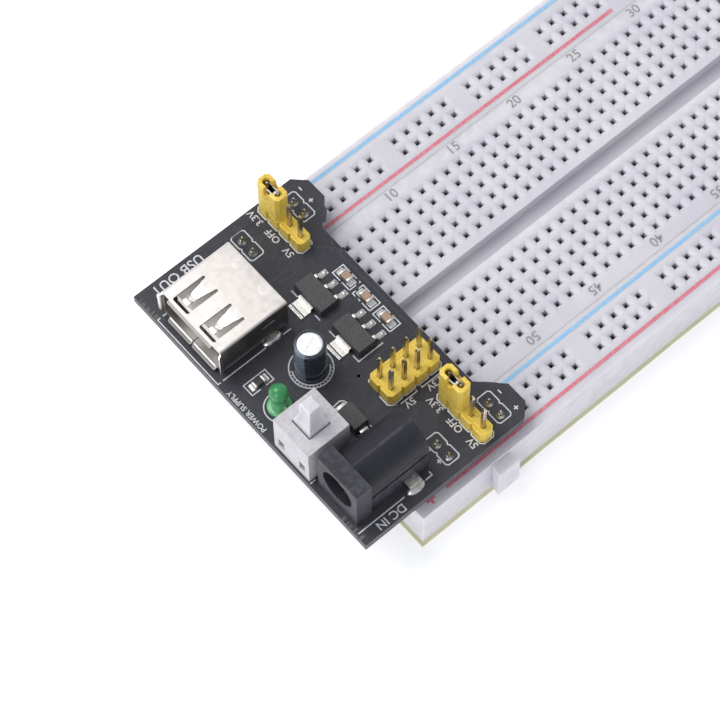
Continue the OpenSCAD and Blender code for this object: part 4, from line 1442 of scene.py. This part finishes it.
USB_T = 0.35
USB_LIP = 0.6
USB_FLOOR = 0.9
USB_SPRING_Y = 3.05
USB_SLOT_BACK = 6.4
USB_SLOT_L = 6.0
USB_LEG_X = -80.8
USB_LEG_W = 2.0
USB_SEAM = 0.14
LEAF_ROOT = 1.1


def usb_tool(points, low_z, high_z):
    solid = Solid()
    solid.prism(points, low_z, high_z)
    return piece("usb_cut", solid)


def slot_outline(back, cy):
    """The opening round one spring leaf: wide at the front, with two arms that run back and end round."""
    front, root = back - USB_SLOT_L, back - LEAF_ROOT
    outer_front, outer_back, arm = 1.75, 1.72, 0.5
    end = (back - arm / 2, outer_back - arm / 2)
    right = [(front + 0.3, -outer_front)]
    right += [
        (end[0] + arm / 2 * math.cos(a), -end[1] + arm / 2 * math.sin(a))
        for a in [math.pi * (k / 8 - 0.5) for k in range(9)]
    ]
    right.append((root, -outer_back + arm + 0.08))
    left = [(x, -y) for x, y in reversed(right)]
    nose = [(front + 0.08, outer_front - 0.08), (front, outer_front - 0.3),
            (front, -outer_front + 0.3), (front + 0.08, -outer_front + 0.08)]
    return [(x, cy + y) for x, y in right + left + nose]


def spring_leaf(solid, back, cy, top):
    """The leaf between the arms: it dips forwards, narrows, and ends in a turned-up square tip."""
    root = back - LEAF_ROOT
    path = ((0.25, 0.0, 1.12), (0.0, 0.0, 1.1), (-0.5, -0.01, 1.0), (-1.1, -0.03, 0.9), (-1.8, -0.08, 0.76),
            (-2.3, -0.16, 0.62), (-2.55, -0.32, 0.56), (-2.72, -0.42, 0.55), (-2.86, -0.3, 0.57),
            (-3.0, -0.14, 0.6), (-3.2, -0.1, 0.62), (-3.65, -0.12, 0.61), (-3.9, -0.2, 0.52))
    thick = 0.24
    rings = []
    for x, drop, half in path:
        z = top - 0.012 + drop
        left, right = cy - half, cy + half
        rings.append([
            (root + x, left, z - 0.04), (root + x, left + 0.05, z), (root + x, right - 0.05, z),
            (root + x, right, z - 0.04), (root + x, right, z - thick), (root + x, left, z - thick),
        ])
    solid.loft(rings)


def usb_tube(low, high, mouth, bottom_z, top_z):
    """The folded box of the shell, open at the mouth and closed at the back."""
    outer = rounded_rectangle(low.y, bottom_z, high.y, top_z, 0.5, 4)
    inner = rounded_rectangle(low.y + USB_T, bottom_z + USB_T, high.y - USB_T, top_z - USB_T, 0.2, 4)

    def section(outline, x):
        return [(x, y, z) for y, z in outline]

    rings = [section(inset(outer, 0.2), high.x), section(inset(outer, 0.06), high.x - 0.06)]
    rings += [section(outer, x) for x in (high.x - 0.2, high.x - 3, high.x - 6, mouth + 1.2, mouth + 0.04)]
    rings += [section(inset(outer, 0.04), mouth), section(inset(inner, -0.04), mouth)]
    rings += [section(inner, mouth + 0.04), section(inner, high.x - USB_T)]
    solid = Solid()
    solid.loft(rings)
    return piece("usb_shell_shape", solid, 40)


def usb_shell():
    """The folded steel shell: rolled front lips, spring leaves, dimples, creases, bottom seam and legs."""
    low, high = box_mm("usb_shell")
    mouth, cy = low.x + USB_LIP, (low.y + high.y) / 2
    bottom_z, top_z = PCB_TOP + USB_FLOOR, high.z
    shell = usb_tube(low, high, mouth, bottom_z, top_z)
    slot_back = high.x - USB_SLOT_BACK
    tools = []
    for side in (-1, 1):
        slot = slot_outline(slot_back, cy + side * USB_SPRING_Y)
        tools.append(usb_tool(slot, top_z - 0.6, top_z + 0.5))
    seam = rounded_rectangle(mouth - 1, cy - USB_SEAM / 2, high.x - 3.2, cy + USB_SEAM / 2, 0)
    tools.append(usb_tool(seam, bottom_z - 0.5, bottom_z + 0.6))
    combine(shell, tools, "DIFFERENCE")
    extra = Solid()
    for side in (-1, 1):
        spring_leaf(extra, slot_back, cy + side * USB_SPRING_Y, top_z)
    front_lip(extra, cy, mouth, top_z, 1)
    front_lip(extra, cy, mouth, bottom_z, -1)
    for side in (-1, 1):
        y = high.y if side > 0 else low.y
        side_ear(extra, side, y, mouth, bottom_z, top_z)
        y_low, y_high = min(y, y - side * USB_T), max(y, y - side * USB_T)
        half = USB_LEG_W / 2
        extra.block((USB_LEG_X - half, y_low, low.z), (USB_LEG_X + half, y_high, bottom_z + 0.6), 0.06)
        crease(extra, side, y, mouth, bottom_z)
    for x, y in ((-78.9, cy + 3.0), (-78.75, cy - 2.85)):
        extra.lathe((x, y, top_z), [(0.9, -0.05), (0.88, 0.0), (0.5, 0.004), (0.15, 0.006)], 24)
    more = piece("usb_extra", extra, 40)
    made = joined("usb_shield", [shell.data, more.data])
    bpy.data.objects.remove(more)
    bpy.data.objects.remove(shell)
    smooth(made.data, 34)
    hand_over(made, "power_module", "usb_steel", usb_nickel(), "usb_shell")


def front_lip(solid, cy, mouth, z, up):
    """The lip that rolls outwards along the top or bottom of the mouth, split by a seam at the bottom."""
    half = 5.0
    rise = 0.1 if up > 0 else 0.42
    curl = [(0.3, 0.0), (0.02, 0.0), (-0.2, 0.12), (-0.4, 0.45), (-USB_LIP, 1.0)]
    spans = ((-half, half),) if up > 0 else ((-half - 0.5, -USB_SEAM / 2), (USB_SEAM / 2, half + 0.5))
    drop = 0.11 if up > 0 else 0.0
    for a, b in spans:
        rings = []
        for y, pull in ((a, 0.2), (a + 0.1, 0.08), (a + 0.3, 0.0), (b - 0.3, 0.0), (b - 0.1, 0.08), (b, 0.2)):
            outer = [(mouth + x + pull * (x < 0), cy + y, z + up * (rise * d - drop)) for x, d in curl]
            under = [(x + 0.03, yy, zz - up * 0.22) for x, yy, zz in reversed(outer)]
            rings.append(outer + under)
        solid.loft(rings)


def side_ear(solid, side, y, mouth, bottom_z, top_z):
    """The ear that leans outwards from one side of the mouth."""
    rings = []
    for x, out in ((0.3, -0.02), (0.0, -0.02), (-0.25, 0.05), (-0.45, 0.2), (-USB_LIP + 0.02, 0.42)):
        face, back = y + side * out, y + side * (out - 0.24)
        trim = 0.25 * max(0.0, out)
        rings.append([
            (mouth + x, face, bottom_z + 0.9 + trim), (mouth + x, face, top_z - 0.7 - trim),
            (mouth + x, back, top_z - 0.72 - trim), (mouth + x, back, bottom_z + 0.92 + trim),
        ])
    solid.loft(rings)


def crease(solid, side, y, mouth, bottom_z):
    """The raised line and the small latch marks pressed into each side."""
    for x0, x1, z in ((0.8, 6.4, 0.75), (7.9, 10.2, 4.2), (7.0, 8.6, 1.0)):
        solid.block(
            (mouth + x0, min(y + side * 0.03, y - side * 0.1), bottom_z + z),
            (mouth + x1, max(y + side * 0.03, y - side * 0.1), bottom_z + z + 0.16), 0.03,
        )


# ---------------------------------------------------------------- power jack


def jack():
    """The jack's moulding: a square flange with a chamfered mouth, a half-round barrel and a side groove."""
    look = black_plastic(
        "jack_nylon", srgb(31, 32, 39), srgb(35, 36, 43), srgb(76, 76, 84), (0.46, 0.6), 0.01,
    )
    softened("jack_housing", 0.16, "black_plastic", look, angle=35, segments=3)


def contact_looks():
    """Nickel-plated and spring parts that keep their CAD shape, and their materials."""
    nickel = shared(contact_nickel)
    for node in ("jack_center_pin", "jack_sleeve_contact", "jack_switch_contact"):
        softened(node, 0.05, "contact_metal", nickel)


def contact_nickel():
    return metal(
        "contact_nickel", srgb(216, 213, 206), srgb(190, 187, 180), srgb(238, 236, 230), (0.24, 0.34),
        patches=300.0, grain=1800.0, depth=0.002,
    )


def lead_tin():
    """Tin-plated leads with a matte, slightly grainy finish."""
    return metal(
        "lead_tin", srgb(222, 219, 212), srgb(198, 195, 188), srgb(240, 238, 232), (0.26, 0.4),
        patches=1200.0, grain=5000.0, depth=0.01,
    )


# ---------------------------------------------------------------- push switch


def switch():
    """The grey housing with softened edges and windows, and the translucent plunger."""
    softened("switch_housing", 0.36, "switch_grey", switch_shell(), segments=4)
    hand_over(plunger(), "switch_button", "white_plastic", plunger_white(), "switch_plunger")


def star(half, dent, z, cx, cy, steps=6):
    """A square whose sides are drawn in towards the middle."""
    points = []
    corners = ((1, -1), (1, 1), (-1, 1), (-1, -1))
    for k, (sx, sy) in enumerate(corners):
        nx, ny = corners[(k + 1) % 4]
        for s in range(steps):
            t = s / steps
            x, y = (sx + (nx - sx) * t) * half, (sy + (ny - sy) * t) * half
            pull = 1 - dent * math.sin(math.pi * t) ** 0.8
            if sx == nx:
                x *= pull
            else:
                y *= pull
            points.append((cx + x, cy + y, z))
    return points


def plunger():
    """The plunger: a square foot under the roof, a star-shaped shoulder and a square head with soft edges."""
    low, high = box_mm("switch_plunger")
    cx, cy = plan_centre(low, high)
    flange, flange_top = (high.x - low.x) / 2, low.z + 1.8
    shoulder = flange_top + 2.2
    solid = Solid()
    levels = [(flange - 0.1, 0, low.z), (flange, 0, low.z + 0.1), (flange, 0, flange_top - 0.1),
              (flange - 0.1, 0, flange_top), (1.8, 0, flange_top), (1.8, 0.01, shoulder - 0.3),
              (1.78, 0.05, shoulder - 0.05), (1.7, 0.12, shoulder + 0.2), (1.56, 0.2, shoulder + 0.55),
              (1.42, 0.22, shoulder + 0.95), (1.3, 0.17, shoulder + 1.4), (1.22, 0.1, shoulder + 1.9),
              (1.18, 0.05, shoulder + 2.5), (1.16, 0.03, high.z - 0.5), (1.12, 0.03, high.z - 0.22),
              (1.03, 0.03, high.z - 0.06), (0.86, 0.03, high.z)]
    solid.loft([star(h, d, z, cx, cy) for h, d, z in levels])
    return piece("switch_plunger_shape", solid, 80)


# ---------------------------------------------------------------- capacitor and LED


def capacitor():
    """The can with its pressed vent and rolled neck, in a sleeve that folds over its top edge."""
    low, high = box_mm("capacitor_can")
    cx, cy = plan_centre(low, high)
    r, h = (high.x - low.x) / 2, high.z - low.z
    profile = [(r - 0.2, 0.0), (r, 0.1), (r, 1.1), (r - 0.22, 1.35), (r - 0.22, 1.6), (r, 1.85),
               (r, h - 0.35),
               (r - 0.06, h - 0.15), (r - 0.2, h - 0.04), (r - 0.4, h), (r - 0.9, h - 0.02)]
    solid = Solid()
    solid.lathe((cx, cy, low.z), profile, 48)
    can = piece("capacitor_can_shape", solid)
    tools = []
    for turn in (20, 110):
        groove = Solid()
        a = math.radians(turn)
        dx, dy = math.cos(a), math.sin(a)
        path = [(cx - dx * 1.25, cy - dy * 1.25), (cx + dx * 1.25, cy + dy * 1.25)]
        stroke(groove, path, 0.14, high.z - 0.08, 0.3)
        tools.append(piece("vent", groove))
    combine(can, tools, "DIFFERENCE")
    hand_over(can, "power_module", "aluminium", bare_aluminium(), "capacitor_can")
    low, high = box_mm("capacitor_sleeve")
    r, h = (high.x - low.x) / 2, high.z - low.z
    outer = [(r - 0.08, 0.0), (r, 0.08), (r, 1.05), (r - 0.16, 1.3), (r - 0.16, 1.5), (r, 1.8), (r, h - 0.5),
             (r - 0.05, h - 0.25), (r - 0.2, h - 0.07), (r - 0.42, h), (r - 0.6, h - 0.03)]
    inner = [(r - 0.6, h - 0.07), (r - 0.42, h - 0.06), (r - 0.22, h - 0.13), (r - 0.1, h - 0.32),
             (r - 0.1, 1.9),
             (r - 0.22, 1.55), (r - 0.22, 1.25), (r - 0.1, 0.9), (r - 0.1, 0.02)]
    sleeve = Solid()
    rings = [
        [(cx + q * math.cos(a), cy + q * math.sin(a), low.z + z) for a in turns(48)] for q, z in outer + inner
    ]
    sleeve.loft(rings, closed_path=True)
    hand_over(
        piece("capacitor_sleeve_shape", sleeve, 40), "power_module", "capacitor_film", capacitor_film(),
        "capacitor_sleeve",
    )


def led():
    """A domed lens, a little waisted above its flange."""
    low, high = box_mm("led_lens")
    at = (low + high) / 2
    h = high.z - low.z
    r, flange = 1.5, (high.x - low.x) / 2
    profile = [(flange - 0.08, 0.0), (flange, 0.08), (flange, 0.6), (flange - 0.12, 0.74), (1.26, 0.78),
               (1.2, 1.0), (1.2, h - r - 1.02), (1.34, h - r - 0.94), (1.38, h - r - 0.8),
               (1.33, h - r - 0.7)]
    sweep = [math.radians(-25 + 115 * k / 13) for k in range(13)]
    profile += [(r * math.cos(a), h - r + r * math.sin(a)) for a in sweep]
    profile += [(0.05, h)]
    solid = Solid()
    solid.lathe((at.x, at.y, low.z), profile, 40)
    hand_over(piece("led_lens_shape", solid, 50), "power_module", "led_epoxy", led_green(), "led_lens")


# ---------------------------------------------------------------- surface-mount parts


def surface_parts():
    """Moulded cases, bent leads and chip parts, their edges softened."""
    epoxy, tin = epoxy_case(), shared(lead_tin)
    for part, edge in (("regulator_left", 0.07), ("regulator_right", 0.07), ("diode", 0.1)):
        softened(f"{part}_case", edge, "chip_epoxy", epoxy)
        softened(f"{part}_leads", 0.05, "solder", tin)
    tan = chip_ceramic("chip_ceramic_tan", srgb(152, 122, 100), srgb(132, 104, 86), srgb(190, 166, 140))
    black = chip_ceramic("chip_resistor_glaze", srgb(30, 30, 32), srgb(40, 40, 42), srgb(70, 70, 74))
    softened("chip_capacitor_bodies", 0.06, "ceramic_tan", tan)
    softened("chip_resistor_body", 0.05, "resistor_black", black)
    for node in ("chip_capacitor_ends", "chip_resistor_ends"):
        softened(node, 0.08, "solder", tin)


def kept_nodes():
    """Procedural materials for the CAD nodes that are shown as they are."""
    looks = {
        "terminal_clips_left": contact_nickel, "terminal_clips_right": contact_nickel,
        "rail_contacts_left": contact_nickel, "rail_contacts_right": contact_nickel,
        "usb_insulator": usb_tongue, "usb_contacts": contact_gold,
        "switch_terminals": contact_nickel, "switch_spring": contact_nickel,
        "capacitor_winding": winding, "capacitor_bung": soft_rubber, "capacitor_leads": lead_tin,
        "led_leads": lead_tin,
    }
    for node, make in looks.items():
        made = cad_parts[node]
        material = shared(make)
        if not made.material_slots:
            made.data.materials.append(material)
        for place in made.material_slots:
            place.material = material


def contact_gold():
    return metal(
        "contact_gold", srgb(214, 178, 96), srgb(196, 158, 78), srgb(240, 214, 150), (0.18, 0.3),
        patches=900.0, depth=0.004,
    )


# ---------------------------------------------------------------- stage


CAMERA_AT = (-193.227, -147.31, 402.727)
CAMERA_AIM = (0.2779, 0.3336, -0.9008)
CAMERA_ROLL = -0.0189
CAMERA_LENS = 146.095


def area_light(name, at, aim, size, power, tint=(1, 1, 1)):
    light = bpy.data.lights.new(name, "AREA")
    light.shape, light.size, light.energy, light.color = "DISK", size, power, tint
    holder = placed(name, light)
    holder.location = at
    holder.rotation_euler = (Vector(aim) - Vector(at)).to_track_quat("-Z", "Y").to_euler()


def pale_floor():
    """A large, seamless, flat white floor."""
    look = base_look(
        "studio_paper", srgb(250, 250, 251), srgb(247, 247, 249), srgb(252, 252, 252), (0.7, 0.85),
        patches=6.0, grain=400.0, depth=0.02,
    )
    look.set(Emission_Color=(1.0, 1.0, 1.0, 1.0), Emission_Strength=0.3)
    mesh = bpy.data.meshes.new("floor")
    size = 3.0
    corners = [(-size, -size, 0), (size, -size, 0), (size, size, 0), (-size, size, 0)]
    mesh.from_pydata(corners, [], [(0, 1, 2, 3)])
    mesh.materials.append(look.material)
    made = placed("studio_floor", mesh)


def studio():
    """Soft daylight from above and the left, a white surround, and the camera."""
    world = bpy.data.worlds.new("studio")
    world.use_nodes = True
    background = world.node_tree.nodes["Background"]
    background.inputs["Color"].default_value = (0.93, 0.95, 1.0, 1.0)
    background.inputs["Strength"].default_value = 0.6
    bpy.context.scene.world = world
    centre = (-0.04, 0.0, 0.0)
    area_light("key", (-0.35, 0.55, 1.0), centre, 0.9, 9.0, (1.0, 0.99, 0.97))
    area_light("fill", (-0.9, -0.35, 0.55), centre, 0.6, 2.8, (0.96, 0.98, 1.0))
    bpy.context.scene.view_settings.view_transform = "Standard"
    camera = bpy.data.cameras.new("camera")
    camera.lens, camera.sensor_width = CAMERA_LENS, 36
    camera.clip_start, camera.clip_end = 0.01, 10
    holder = placed("camera", camera)
    holder.location = Vector(CAMERA_AT) * MM
    turn = Vector(CAMERA_AIM).to_track_quat("-Z", "Y") @ Quaternion((0, 0, 1), CAMERA_ROLL)
    holder.rotation_euler = turn.to_euler()
    bpy.context.scene.camera = holder


# ---------------------------------------------------------------- the whole scene


def build():
    plastic = board_plastic()
    terminal_strip(plastic)
    power_rail(LEFT, "power_rail_left", plastic)
    power_rail(RIGHT, "power_rail_right", plastic)
    backing()
    board_print()
    softened("circuit_board", 0.12, "circuit_board", solder_mask())
    break_offs()
    traces()
    silk_screen()
    headers()
    cap_yellow = header_yellow("jumper_yellow_plastic", -4)
    for side in ("left", "right"):
        jumper_cap(side, cap_yellow)
        jumper_clip(side, shared(contact_nickel))
    solder()
    surface_solder()
    usb_shell()
    jack()
    contact_looks()
    switch()
    capacitor()
    led()
    surface_parts()
    kept_nodes()
    pale_floor()
    studio()


build()
